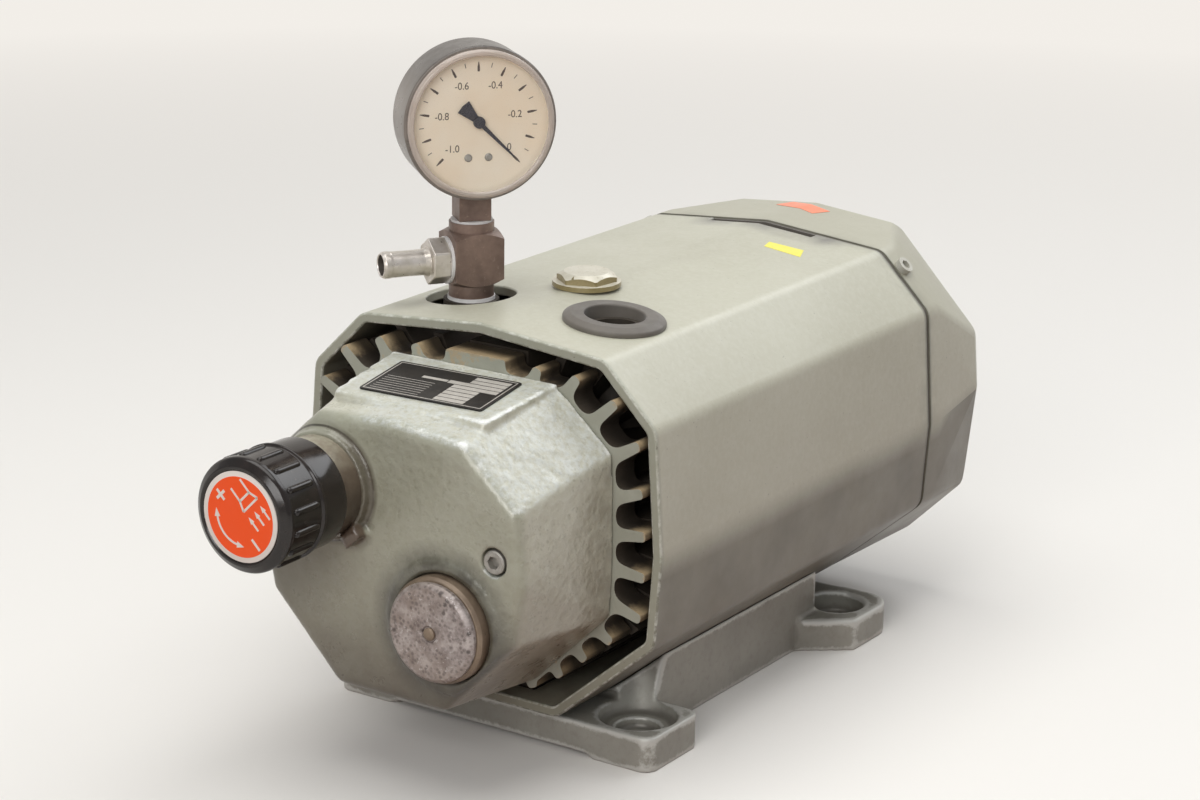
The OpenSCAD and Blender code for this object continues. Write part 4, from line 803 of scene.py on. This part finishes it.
def bothSides(half):
    return [(x, z) for x, z in half] + [(-x, z) for x, z in reversed(half) if x > 0]


def edgeAt(outline, angle, inset=0.0):  # how far a ray from the shaft reaches inside the outline
    ray = Vector((math.cos(math.radians(angle)), math.sin(math.radians(angle))))
    reach = []
    for a, b in zip(outline, outline[1:] + outline[:1]):
        a, b = Vector(a), Vector(b)
        normal = Vector((-(b - a).y, (b - a).x)).normalized()
        if normal.dot(ray) > 1e-6:
            reach.append((normal.dot(a) - inset) / normal.dot(ray))
    return min(reach)


def makeFins():
    hoodLine, coverLine = bothSides(pump["hood"]), bothSides(pump["coverRear"])
    limit = bothSides(fins["limit"])
    outline = []

    def tipAt(angle):
        return min(edgeAt(hoodLine, angle, fins["inset"]), edgeAt(limit, angle))

    def spoke(angle, halfRoot, halfTip, tipRound):
        turn = math.radians(angle)
        along, across = Vector((math.cos(turn), math.sin(turn))), Vector((-math.sin(turn), math.cos(turn)))
        rootTurn = math.degrees(math.asin(halfRoot / fins["rootAt"]))
        tipTurn = math.degrees(math.asin(halfTip / fins["tipAt"]))
        top = min(tipAt(angle - tipTurn), tipAt(angle), tipAt(angle + tipTurn))
        for sign, atRoot in ((-1, True), (-1, False), (1, False), (1, True)):
            root = edgeAt(coverLine, angle + sign * rootTurn) * math.cos(math.radians(rootTurn)) + fins["gap"]
            at = along * (root if atRoot else top) + across * sign * (halfRoot if atRoot else halfTip)
            outline.append((at.x, at.y, fins["rootRound"] if atRoot else tipRound))

    for k in range(round(360 / fins["step"])):
        angle = fins["first"] + k * fins["step"]
        if angle == 90:
            spoke(angle, fins["blockHalf"] + fins["blockDraft"], fins["blockHalf"], fins["blockRound"])
        elif angle == 270:
            outline.extend(fins["foot"])
        elif min(abs(angle - 90), abs(angle - 270)) > fins["noneWithin"]:
            spoke(angle, fins["root"], fins["tip"], fins["tipRound"])
    place = placeAt(0, fins["rear"], pump["axisHeight"], ("X", 90))
    thick = fins["rear"] - fins["front"]
    plate = prism("finnedPlate", rounded(outline, arc=6), 0, thick, place, finish["fin"])
    soften(plate, fins["edge"], 3)
    tips = plate.data.attributes.new("tip", "FLOAT", "POINT")
    for k, vertex in enumerate(plate.data.vertices):
        x, z = vertex.co.x / mm, vertex.co.z / mm - pump["axisHeight"]
        depth = tipAt(math.degrees(math.atan2(z, x))) - math.hypot(x, z)
        tips.data[k].value = max(0.0, min(1.0, 1 - depth / fins["bare"]))
    settle(plate, "cast_iron", "end_plate")


makeFins()
print("fins made")

# Regulator knob: a turned body, ribs round the grip and a printed disc
knob = {
    "x": -31, "z": 25.5, "bore": 17.05, "deep": 41, "back": 15.0, "front": 54, "grip": 24.5, "collar": 23.2,
    "radius": 23.4, "label": 18.75, "disc": 16.6, "ribs": 16, "ribHigh": 1.5, "ribSunk": 0.4, "ribWide": 3.0,
    "ribLong": 15.5, "ribFrom": 3.2,
}
atKnob = onFace(knob["x"], knob["z"])


def pill(name, long, wide, high, sunk, place):  # a bar with a round back and round ends, lying along Z
    rings, arc = 14, 9
    turns = [math.pi * k / (arc - 1) for k in range(arc)]
    points = []
    for i in range(rings + 1):
        z = long * (1 - math.cos(math.pi * i / rings)) / 2
        near = min(1.0, min(z, long - z) / (wide / 2))
        size = math.sqrt(max(0.02, 1 - (1 - near) ** 2))
        points += [(high * size * math.sin(turn) - sunk, -wide / 2 * size * math.cos(turn), z)
                   for turn in turns]
    faces = [tuple(range(arc)), tuple(rings * arc + k for k in range(arc - 1, -1, -1))]
    for i in range(rings):
        for k in range(arc):
            a, b = i * arc + k, i * arc + (k + 1) % arc
            faces.append((a, b, b + arc, a + arc))
    return meshPiece(name, points, faces, place)


def makeKnob():
    bore, back, front, deep = knob["bore"], knob["back"], knob["front"], knob["deep"]
    start, radius, collar = front - knob["grip"], knob["radius"], knob["collar"]
    body = turned("knobBody", [
        (0, deep, 0), (bore, deep, 0), (bore, back, 0), (collar, back, 1.4), (collar, start - 0.7, 0.5),
        (collar - 0.9, start - 0.4, 0.2), (collar - 0.9, start, 0.1), (radius + 0.9, start, 0.6),
        (radius + 0.9, start + 1.5, 0.7), (radius, start + 2.3, 0.6), (radius, front - 5.2, 0.5),
        (radius + 0.6, front - 4.8, 0.5), (radius + 0.5, front - 2.2, 3.2), (radius - 2.8, front, 2.6),
        (19.6, front - 0.1, 0.6), (19.0, front - 0.62, 0), (0, front - 0.62, 0)], atKnob, finish["knob"], 8)
    rib = pill("knobRibs", knob["ribLong"], knob["ribWide"], knob["ribHigh"], knob["ribSunk"],
               Matrix.Translation((radius, 0, start + knob["ribFrom"])))
    step = 360 / knob["ribs"]
    ribs = copiesRound(rib, knob["ribs"], step / 2, step, finish["knob"], atKnob)
    settle(body, "knob_black", "regulator_knob", body="knob")
    settle(ribs, "knob_black", body="knob")
    softNode("regulator_body", "regulatorBody", "regulatorBrass", "dark_brass", 0.5)


makeKnob()

# The disc's signs, in a frame turned by half a right angle: plus, minus, a turning arrow, a throttled passage
signs = {
    "turn": -45, "wide": 0.95, "seat": 53.35, "ring": 0.5, "disc": 0.56, "high": 0.62,
    "plus": (-12.3, -1.6), "arm": 2.7, "minus": [(9.8, -1.6), (15.4, -1.6)],
    "arrows": (3.7, 7.9, 12.1), "arrowFrom": 9.3, "arrowTo": 2.5, "arrowHead": 2.9,
    "passage": [(-11, 11.3), (-4.6, 11.3), (-0.5, 13.2), (-0.5, 3.1), (-4.6, 4.7), (-11, 4.7)],
    "arcRadius": 11.8, "arcHalf": 36, "arcSteps": 14, "arcHead": 3.6, "arcHeadHalf": 1.4,
}


def stroke(a, b, width):
    a, b = Vector(a), Vector(b)
    side = Vector((-(b - a).y, (b - a).x)).normalized() * width / 2
    return [tuple(a - side), tuple(b - side), tuple(b + side), tuple(a + side)]


def arrow(tail, tip, width, head):
    tail, tip = Vector(tail), Vector(tip)
    along = (tip - tail).normalized()
    side = Vector((-along.y, along.x)) * head * 0.4
    neck = tip - along * head
    return [stroke(tail, neck, width), [tuple(neck - side), tuple(tip), tuple(neck + side)]]


def signShapes():
    wide, arm, half = signs["wide"], signs["arm"], signs["wide"] * 0.65
    plus = [(arm, half), (half, half), (half, arm), (-half, arm), (-half, half), (-arm, half)]
    plus = [(x + signs["plus"][0], y + signs["plus"][1]) for x, y in plus + [(-x, -y) for x, y in plus]]
    shapes = [plus, stroke(*signs["minus"], wide * 1.2)]
    passage = signs["passage"]
    shapes += [stroke(a, b, wide) for a, b in zip(passage, passage[1:])]
    shapes.append(stroke(passage[1], passage[4], wide))
    for across in signs["arrows"]:
        shapes += arrow((signs["arrowFrom"], across), (signs["arrowTo"], across), wide, signs["arrowHead"])
    count, sweep = signs["arcSteps"], signs["arcHalf"]
    turns = [math.radians(270 - sweep + 2 * sweep * k / count) for k in range(count + 1)]
    arc = [Vector((math.cos(t), math.sin(t))) * signs["arcRadius"] for t in turns]
    shapes += [stroke(a, b, wide) for a, b in zip(arc, arc[1:])]
    for end, way in ((0, -1), (count, 1)):
        along = Vector((-math.sin(turns[end]), math.cos(turns[end]))) * way
        side = Vector((-along.y, along.x)) * signs["arcHeadHalf"]
        tip = arc[end] + along * signs["arcHead"]
        shapes.append([tuple(arc[end] - side), tuple(tip), tuple(arc[end] + side)])
    return shapes


def makeLabel():
    seat, label, disc = signs["seat"], knob["label"], knob["disc"]
    top, low, high = seat + signs["ring"], seat + signs["ring"] - 0.05, seat + signs["disc"]
    ring = lathe("labelRing", [(0, seat), (label, seat), (label, top - 0.04), (label - 0.15, top), (0, top)],
                 atKnob, finish["labelWhite"])
    face = lathe("labelDisc", [(0, low), (disc, low), (disc, high), (0, high)], atKnob, finish["labelRed"])
    place, signTop = atKnob @ Matrix.Rotation(math.radians(signs["turn"]), 4, "Z"), seat + signs["high"]
    marks = together("labelSigns", [prism("labelSigns", shape, top, signTop, place, finish["labelWhite"])
                                    for shape in signShapes()])
    settle(ring, "label_print", "knob_label", body="knob")
    settle(face, "label_print", body="knob")
    settle(marks, "label_print", body="knob")


makeLabel()
print("knob made")

# Service plug with its collar and pin
plug = {"x": 28.5, "z": -24, "radius": 21, "ring": 22.5, "seat": 6, "thick": 4, "stud": 12.9, "studEnd": -14,
        "hole": 13.3, "sunk": -2.45, "pin": 2.7, "dimple": 3.1}


def makeServicePlug():
    place = onFace(plug["x"], plug["z"])
    base, top, radius = plug["seat"], plug["seat"] + plug["thick"], plug["radius"]
    stud, end, hole, sunk, ring, pin = (plug[k] for k in ("stud", "studEnd", "hole", "sunk", "ring", "pin"))
    disc = turned("plugDisc", [
        (0, end, 0), (stud, end, 0), (stud, base + 0.02, 0), (radius - 0.3, base + 0.02, 0),
        (radius, base + 0.6, 0.5), (radius, top - 1.8, 1.4), (radius - 1.9, top, 1.2),
        (radius - 3.0, top - 0.15, 0.5), (plug["dimple"] + 0.5, top - 0.05, 0.4),
        (plug["dimple"], top - 0.8, 0.3), (0, top - 0.8, 0)], place, finish["pitted"])
    collar = turned("plugCollar", [
        (hole, sunk, 0), (ring - 0.2, sunk, 0), (ring, -1.6, 0.6), (ring, base - 1.6, 1.0),
        (ring - 1.1, base, 0.8), (hole, base - 0.02, 0), (hole, sunk, 0)], place, finish["plugTan"])
    peg = turned("plugPin", [
        (0, top - 3, 0), (pin, top - 3, 0), (pin, top + 0.2, 0.6), (pin - 1, top + 0.6, 0.8),
        (0, top + 0.65, 0)], place, finish["plugTan"], steps=48)
    settle(disc, "pitted_zinc", "service_plug")
    settle(collar, "dark_brass", "plug_ring")
    settle(peg, "brass", "plug_pin")


makeServicePlug()
print("service plug made")

# Rubber ring round the right port, and the lifting plug on the ridge
grommet = {"radius": 22, "high": 3.6, "bore": 13, "hole": 19.4, "lip": 20.9, "sheet": -4.55, "under": -7}


def makeTopFittings():
    radius, high, bore = grommet["radius"], grommet["high"], grommet["bore"]
    hole, lip, under = grommet["hole"], grommet["lip"], grommet["under"]
    ring = turned("portRing", [
        (bore, under, 0), (bore, high, 1.0), (radius - 3.4, high, 1.5), (radius, high - 1.6, 2.0),
        (radius, 0.02, 0.4), (hole, 0.02, 0), (hole, grommet["sheet"], 0),
        (lip, grommet["sheet"] - 0.05, 0.3), (lip, under, 0.6), (bore, under, 0)],
        onTop(pump["portX"], pump["portY"]), finish["rubber"], 7)
    settle(ring, "rubber", "port_grommet")
    softNode("lifting_plug", "liftingPlug", "zinc", "yellow_zinc", 0.45, 3, 25)


makeTopFittings()
print("top fittings made")

# Tee, nozzle and sealing rings
tee = {"turn": -33.4, "block": 22, "seal": 1.2, "side": 97.35, "nozzle": 5.65, "lip": 5.85, "bore": 3.25,
       "mouth": 1.5, "mouthDeep": 2.8, "reach": 29, "flats": 9, "hexLong": 8, "face": 8.8,
       "stub": 5.9, "stubEnd": -5}


def makeTee():
    softNode("tee", "teeBody", "darkBrass", "dark_brass", 0.5)
    softNode("gauge_stem", "gaugeStem", "darkBrass", "dark_brass", 0.5)
    place = placeAt(-pump["portX"], pump["portY"], pump["axisHeight"], ("Z", tee["turn"]))
    place = place @ Matrix.Translation((0, -tee["block"] / 2 - tee["seal"], tee["side"]))
    place = place @ Matrix.Rotation(math.radians(90), 4, "X")
    radius, lip, end, bore, long = tee["nozzle"], tee["lip"], tee["reach"], tee["bore"], tee["hexLong"]
    wide, deep, inside, face = tee["mouth"], tee["mouthDeep"], tee["stubEnd"], tee["face"]
    nozzle = turned("hoseNozzle", [
        (bore, inside, 0), (tee["stub"], inside, 0), (tee["stub"], 0, 0), (face, 0, 0), (face, long - 0.4, 0),
        (radius + 0.6, long, 0.4), (radius, long + 2.5, 2), (radius - 0.1, 17, 3), (radius, end - 4.4, 1),
        (lip, end - 3.4, 0.8), (lip, end - 1.2, 0.8), (lip - 0.8, end, 0.5), (bore + wide, end, 0.2),
        (bore, end - deep, 0), (bore, inside, 0)], place, finish["nickel"])
    inner, outer = bore - 0.06, bore + 0.15
    # A dark sleeve inside the nozzle's bore, as painted shade of the bore
    boreShade = lathe("hoseBore", [
        (inner, inside + 0.1), (outer, inside + 0.1), (outer, end - deep), (bore + wide - 0.1, end - 0.5),
        (bore + wide - 0.28, end - 0.4), (inner, end - deep), (inner, inside + 0.1)], place, finish["iron"],
        steps=64)
    corner = tee["flats"] / math.cos(math.pi / 6)
    turns = [math.radians(60 * k + 30) for k in range(6)]
    hexagon = [(corner * math.cos(t), corner * math.sin(t)) for t in turns]
    flats = prism("nozzleHex", hexagon, 0.05, long - 0.05, place, finish["nickel"])
    soften(flats, 0.8, 3)
    settle(nozzle, "nickel", "hose_barb")
    settle(boreShade, "nickel")
    settle(flats, "nickel")


makeTee()
print("tee made")

# Gauge: case, clear window, dial with ticks and plain numbers, pointer
gauge = {
    "height": 159, "turn": 50, "radius": 32.98, "wall": 2, "window": 31.7, "front": 18, "depth": 27.5,
    "dial": 11.6, "face": 30.7, "hub": 1.3, "screwX": 4.4, "screwY": -15.3, "start": -45, "sweep": 270,
    "majors": 11, "minor": 0.3, "tickIn": 21.5, "tickOut": 25.6, "tickLong": 2.0, "tickHalf": 0.5,
    "numbers": 17.2, "tall": 4.4, "narrow": 0.92,
}
atGauge = placeAt(-pump["portX"], pump["portY"], pump["axisHeight"] + gauge["height"], ("Z", gauge["turn"]),
                  ("X", 90))


def numberPiece(body, x, y):
    curve = bpy.data.curves.new("number", "FONT")
    curve.body, curve.size, curve.align_x, curve.align_y = body, gauge["tall"], "CENTER", "CENTER"
    curve.extrude = 0.03
    text = bpy.data.objects.new("number", curve)
    bpy.context.scene.collection.objects.link(text)
    graph = bpy.context.evaluated_depsgraph_get()
    mesh = bpy.data.meshes.new_from_object(text.evaluated_get(graph))
    bpy.data.objects.remove(text)
    mesh.transform(Matrix.Scale(gauge["narrow"], 4, (1, 0, 0)))
    mesh.transform(atGauge @ Matrix.Translation((x, y, gauge["dial"] + 0.04)))
    mesh.materials.clear()
    return newPiece("number", mesh, finish["ink"])


def dialPrint():
    low, high, flat = gauge["dial"] - 0.02, gauge["dial"] + 0.06, Matrix.Identity(4)
    inner, outer, half = gauge["tickIn"], gauge["tickOut"], gauge["tickHalf"]
    back = outer - gauge["tickLong"]
    long = [(inner, 0.3), (inner + 0.2, half), (back, half), (outer, 0.16)]
    major = prism("dialMajor", [(x, -y) for x, y in long] + long[::-1], low, high, flat)
    minor = prism("dialMinor", stroke((back, 0), (outer, 0), gauge["minor"]), low, high, flat)
    count, start = gauge["majors"], gauge["start"]
    step = gauge["sweep"] / (count - 1)
    pieces = [copiesRound(major, count, start, step, finish["ink"], atGauge),
              copiesRound(minor, count - 1, start + step / 2, step, finish["ink"], atGauge)]
    for k in range((count + 1) // 2):  # the first stands further out, and both ends a little higher
        turn = math.radians(start + 2 * k * step)
        x, y = gauge["numbers"] * math.cos(turn), gauge["numbers"] * math.sin(turn)
        pieces.append(numberPiece(f"-{k * 0.2:.1f}" if k else "0", x * (0.93 if k else 1.1),
                                  y * (0.93 if k in (0, 5) else 1.0)))
    return together("dialPrint", pieces)


def makeGauge():
    radius, front, back = gauge["radius"], gauge["front"], gauge["front"] - gauge["depth"]
    inner, window, dial, hub = radius - gauge["wall"], gauge["window"], gauge["dial"], gauge["hub"]
    case = turned("gaugeShell", [
        (0, back, 0), (radius - 4, back, 1), (radius - 0.3, back + 1.2, 3.4),
        (radius - 0.3, front - 7.4, 0.3), (radius, front - 7.0, 0.4), (radius, front - 2.9, 0.9),
        (radius - 0.5, front - 2.42, 0.4),
        (inner, front - 2.42, 0), (inner, back + 1.5, 0), (0, back + 1.5, 0)], atGauge, finish["enamel"], 7)
    glass = lathe("gaugeGlass", [
        (0, front - 2.2), (window - 2.8, front - 2.2), (window - 2.8, front - 0.7),
        (window - 7, front - 0.35), (0, front - 0.2)], atGauge, finish["window"])
    rim = turned("gaugeRim", [
        (inner - 1, front - 4.9, 0), (inner - 0.05, front - 4.9, 0), (inner - 0.05, front - 2.35, 0),
        (window, front - 2.35, 0.3), (window, front - 0.9, 0.9), (window - 1.1, front, 0.8),
        (window - 2.1, front, 0.7), (window - 2.8, front - 0.8, 0.4), (inner - 1, front - 2.6, 0),
        (inner - 1, front - 4.9, 0)], atGauge, finish["rim"], 7)
    disc = lathe("dialDisc", [
        (0, dial - 0.8), (gauge["face"], dial - 0.8), (gauge["face"], dial), (hub, dial),
        (hub - 0.4, dial - 0.3), (0, dial - 0.3)], atGauge, finish["dial"])
    marks = dialPrint()
    head = [(0, -0.1, 0), (1.7, -0.1, 0), (1.7, 0.25, 0.3), (1.2, 0.6, 0.4), (0, 0.7, 0)]
    places = [atGauge @ Matrix.Translation((side * gauge["screwX"], gauge["screwY"], dial)) for side in (-1, 1)]
    screws = [turned("dialScrews", head, place, finish["screw"], steps=32) for place in places]
    screws = together("dialScrews", screws)
    settle(case, "gauge_black", "gauge_case")
    settle(glass, "window_clear", "gauge_window")
    settle(rim, "window_clear")
    settle(disc, "dial_print", "gauge_dial")
    settle(marks, "dial_print")
    settle(screws, "screw_steel")
    softNode("gauge_pointer", "gaugeNeedle", "pointer", "pointer_black", 0.12, body="pointer")


makeGauge()
print("gauge made")

# Name plate with blank fields, and two bare stickers
plate = {
    "slope": 7.43, "y": -118, "z": 166.2, "in": 8.5, "long": 31, "wide": 60, "thick": 0.8, "turn": 2.5,
    "corner": 1.4,
    "fields": [(5, -13.2, 19.5, -10.4), (5, -9.9, 19.5, -7.1), (5, -6.6, 19.5, -3.8), (5, -3.3, 19.5, -0.5),
               (5, 0.0, 27, 2.8), (1, 3.3, 27, 6.1), (10, 6.6, 27, 9.4), (10, 9.9, 27, 12.6),
               (-12, 3.8, 0.4, 5.8)],
    "rules": 7, "rule": [(-26.5, -12.2), (-3, -12.2)], "ruleWide": 0.3, "rulePitch": 2.1,
    "frame": [(-28.6, -14.2), (28.6, -14.2), (28.6, 14.2), (-28.6, 14.2)], "frameWide": 0.5,
}
stickers = {
    "stickerYellow": {"node": "hood", "corners": [(21.6, 77.5), (41.9, 75.7), (37.6, 86.3), (19.6, 85.6)]},
    "stickerOrange": {"node": "fan_cowl",
                      "corners": [(-16.6, 153.0), (8.4, 144.4), (12.4, 154.5), (-12.0, 161.6)]},
}
sticker = {"steps": 12, "low": 0.02, "high": 0.14, "above": 400}


def makePlate():
    place = placeAt(0, plate["y"], plate["z"], ("X", plate["slope"])) @ Matrix.Translation(
        (0, -plate["in"] - plate["long"] / 2, 0.02)) @ Matrix.Rotation(math.radians(plate["turn"]), 4, "Z")
    long, wide, top, corner = plate["long"] / 2, plate["wide"] / 2, plate["thick"], plate["corner"]
    corners = [(-wide, -long), (wide, -long), (wide, long), (-wide, long)]
    body = prism("plateBody", rounded([(x, y, corner) for x, y in corners]), 0, top, place, finish["plate"])
    soften(body, 0.15, 2)
    low, high, silver = top - 0.02, top + 0.035, finish["plateSilver"]
    rule = prism("rules", stroke(*plate["rule"], plate["ruleWide"]), low, high, Matrix.Identity(4))
    pitch = (0.0, plate["rulePitch"], 0.0)
    rule = repeat(rule, rowTree, plate["rules"], (0.0, 0.0, 0.0), pitch, silver, place)
    fields = [prism("field", [(x0, y0), (x1, y0), (x1, y1), (x0, y1)], low, high, place, silver)
              for x0, y0, x1, y1 in plate["fields"]]
    ring = plate["frame"]
    lines = [prism("line", stroke(a, b, plate["frameWide"]), low, top + 0.03, place, silver)
             for a, b in zip(ring, ring[1:] + ring[:1])]
    settle(body, "plate_print", "name_plate")
    settle(together("platePrint", [rule, *fields, *lines]), "plate_print")


def makeSticker(name, node, corners):  # a thin sheet laid on the node's own surface
    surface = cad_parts[node].data
    target = BVHTree.FromPolygons([v.co for v in surface.vertices], [p.vertices for p in surface.polygons])
    a, b, c, d = (Vector(corner) for corner in corners)
    steps = sticker["steps"]
    points, faces = [], []
    for lift in (sticker["low"], sticker["high"]):
        for i in range(steps + 1):
            for j in range(steps + 1):
                at = a.lerp(b, i / steps).lerp(d.lerp(c, i / steps), j / steps)
                above = Vector((at.x, at.y, sticker["above"])) * mm
                where, normal, _, _ = target.ray_cast(above, Vector((0, 0, -1)))
                points.append(tuple((where + normal * lift * mm) / mm))
    row, layer = steps + 1, (steps + 1) ** 2
    rim = [k * row for k in range(row)] + [steps * row + k for k in range(1, row)]
    rim += [k * row + steps for k in range(steps - 1, -1, -1)] + [k for k in range(steps - 1, 0, -1)]
    for i in range(steps):
        for j in range(steps):
            k = i * row + j
            faces.append((k, k + 1, k + row + 1, k + row))
            faces.append((layer + k, layer + k + row, layer + k + row + 1, layer + k + 1))
    faces += [(k, n, layer + n, layer + k) for k, n in zip(rim, rim[1:] + rim[:1])]
    settle(meshPiece(name, points, faces, Matrix.Scale(mm, 4), finish[name]), "label_print")


makePlate()
for name, made in stickers.items():
    makeSticker(name, made["node"], made["corners"])
print("plate and stickers made")

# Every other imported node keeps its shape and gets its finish
nodeFinish = {
    "rubber": ["cowl_seal"],
    "screw": ["pump_foot_bolt_right", "pump_foot_bolt_left", "motor_foot_bolt_right", "motor_foot_bolt_left"],
    "iron": ["pump_cylinder", "drive_plate"],
    "steel": ["rotor", "shaft", "front_bearing", "drive_bearing", "rear_bearing", "regulator_spindle",
              "spring_seat", "valve_spring", "valve_plate"],
    "carbon": [f"vane_{k}" for k in range(1, 7)],
    "aluminium": ["motor_case", "rear_shield"],
    "stack": ["motor_stator", "motor_rotor"],
    "winding": ["winding_front", "winding_rear"],
    "plastic": ["fan"],
    "darkBrass": ["bourdon_tube"],
    "seal": ["seal_port", "seal_hose", "seal_gauge"],
    "brass": ["gauge_movement"],
}


def dressNodes():
    for key, part in (("screw", "cover"), ("paleScrew", "cowl")):
        for side in ("right", "left"):
            screw = f"{part}_screw_{side}"
            softNode(screw, "soft_" + screw, key, "screw_steel", 0.3)
    for key, nodes in nodeFinish.items():
        for node in nodes:
            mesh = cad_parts[node].data
            mesh.materials.clear()
            mesh.materials.append(finish[key])


dressNodes()
print("nodes dressed")

# Plain pale floor and backdrop, soft light; what bounces off the floor is a brown bench's
studio = {
    "floor": (232, 229, 224), "bench": (132, 96, 80), "wall": (236, 232, 226), "near": 0.5, "far": 1.7,
    "turn": 33.6, "wide": 9.0, "front": -9.0, "deep": 2.2, "bend": 0.8, "high": 3.0,
    "aim": (0, -0.03, 0.1), "world": 0.44, "sky": (0.92, 0.94, 0.97, 1),
}
lamps = {
    "keyLamp": {"place": (-0.05, -0.25, 1.6), "size": (1.5, 1.3), "energy": 16.2, "tint": (1.0, 0.99, 0.965)},
    "fillLamp": {"place": (0.6, -1.85, 0.95), "size": (1.1, 0.9), "energy": 16.0, "tint": (1.0, 0.99, 0.98)},
    "backLamp": {"place": (0.35, 1.35, 1.5), "size": (1.6, 0.9), "energy": 14.0, "tint": (0.96, 0.98, 1.0)},
}


def areaLight(name, place, size, energy, tint):
    lamp = bpy.data.lights.new(name, "AREA")
    lamp.shape, lamp.size, lamp.size_y = "RECTANGLE", size[0], size[1]
    lamp.energy, lamp.color = energy, tint
    obj = bpy.data.objects.new(name, lamp)
    bpy.context.scene.collection.objects.link(obj)
    toTarget = Vector(studio["aim"]) - Vector(place)
    obj.matrix_world = Matrix.Translation(place) @ toTarget.to_track_quat("-Z", "Y").to_matrix().to_4x4()


def floorPaint():
    f = Finish("floorPaint", studio["floor"], 0.8)
    path = f.add("ShaderNodeLightPath").outputs
    seen = f.math("ADD", path["Is Camera Ray"], path["Is Glossy Ray"])
    seen = f.math("ADD", seen, path["Is Transmission Ray"], clamp=True)
    far = f.between(f.vector("LENGTH", f.where, None, "Value"), studio["near"], studio["far"])
    f.base = f.mix(far, f.mix(seen, studio["bench"], studio["floor"]), (0, 0, 0))
    f.set("Emission Color", colour(studio["wall"]))
    f.set("Emission Strength", f.times(seen, far))
    return f.done()


def makeStudio():
    deep, bend = studio["deep"], studio["bend"]
    turns = [math.radians(degrees) for degrees in range(0, 91, 6)]
    line = [(studio["front"], 0.0)] + [(deep + bend * math.sin(t), bend - bend * math.cos(t)) for t in turns]
    line.append((deep + bend, studio["high"]))
    turn = Matrix.Rotation(math.radians(studio["turn"]), 4, "Z")
    points = [tuple(turn @ Vector((side * studio["wide"], y, z))) for side in (-1, 1) for y, z in line]
    count = len(line)
    mesh = bpy.data.meshes.new("floor")
    mesh.from_pydata(points, [], [(k, count + k, count + k + 1, k + 1) for k in range(count - 1)])
    mesh.shade_smooth()
    newPiece("floor", mesh, floorPaint())
    for name, lamp in lamps.items():
        areaLight(name, **lamp)
    world = bpy.data.worlds.new("studio")
    world.use_nodes = True
    background = world.node_tree.nodes["Background"].inputs
    background["Color"].default_value = studio["sky"]
    background["Strength"].default_value = studio["world"]
    bpy.context.scene.world = world
    bpy.context.scene.view_settings.view_transform = "Standard"


makeStudio()
print("studio made")
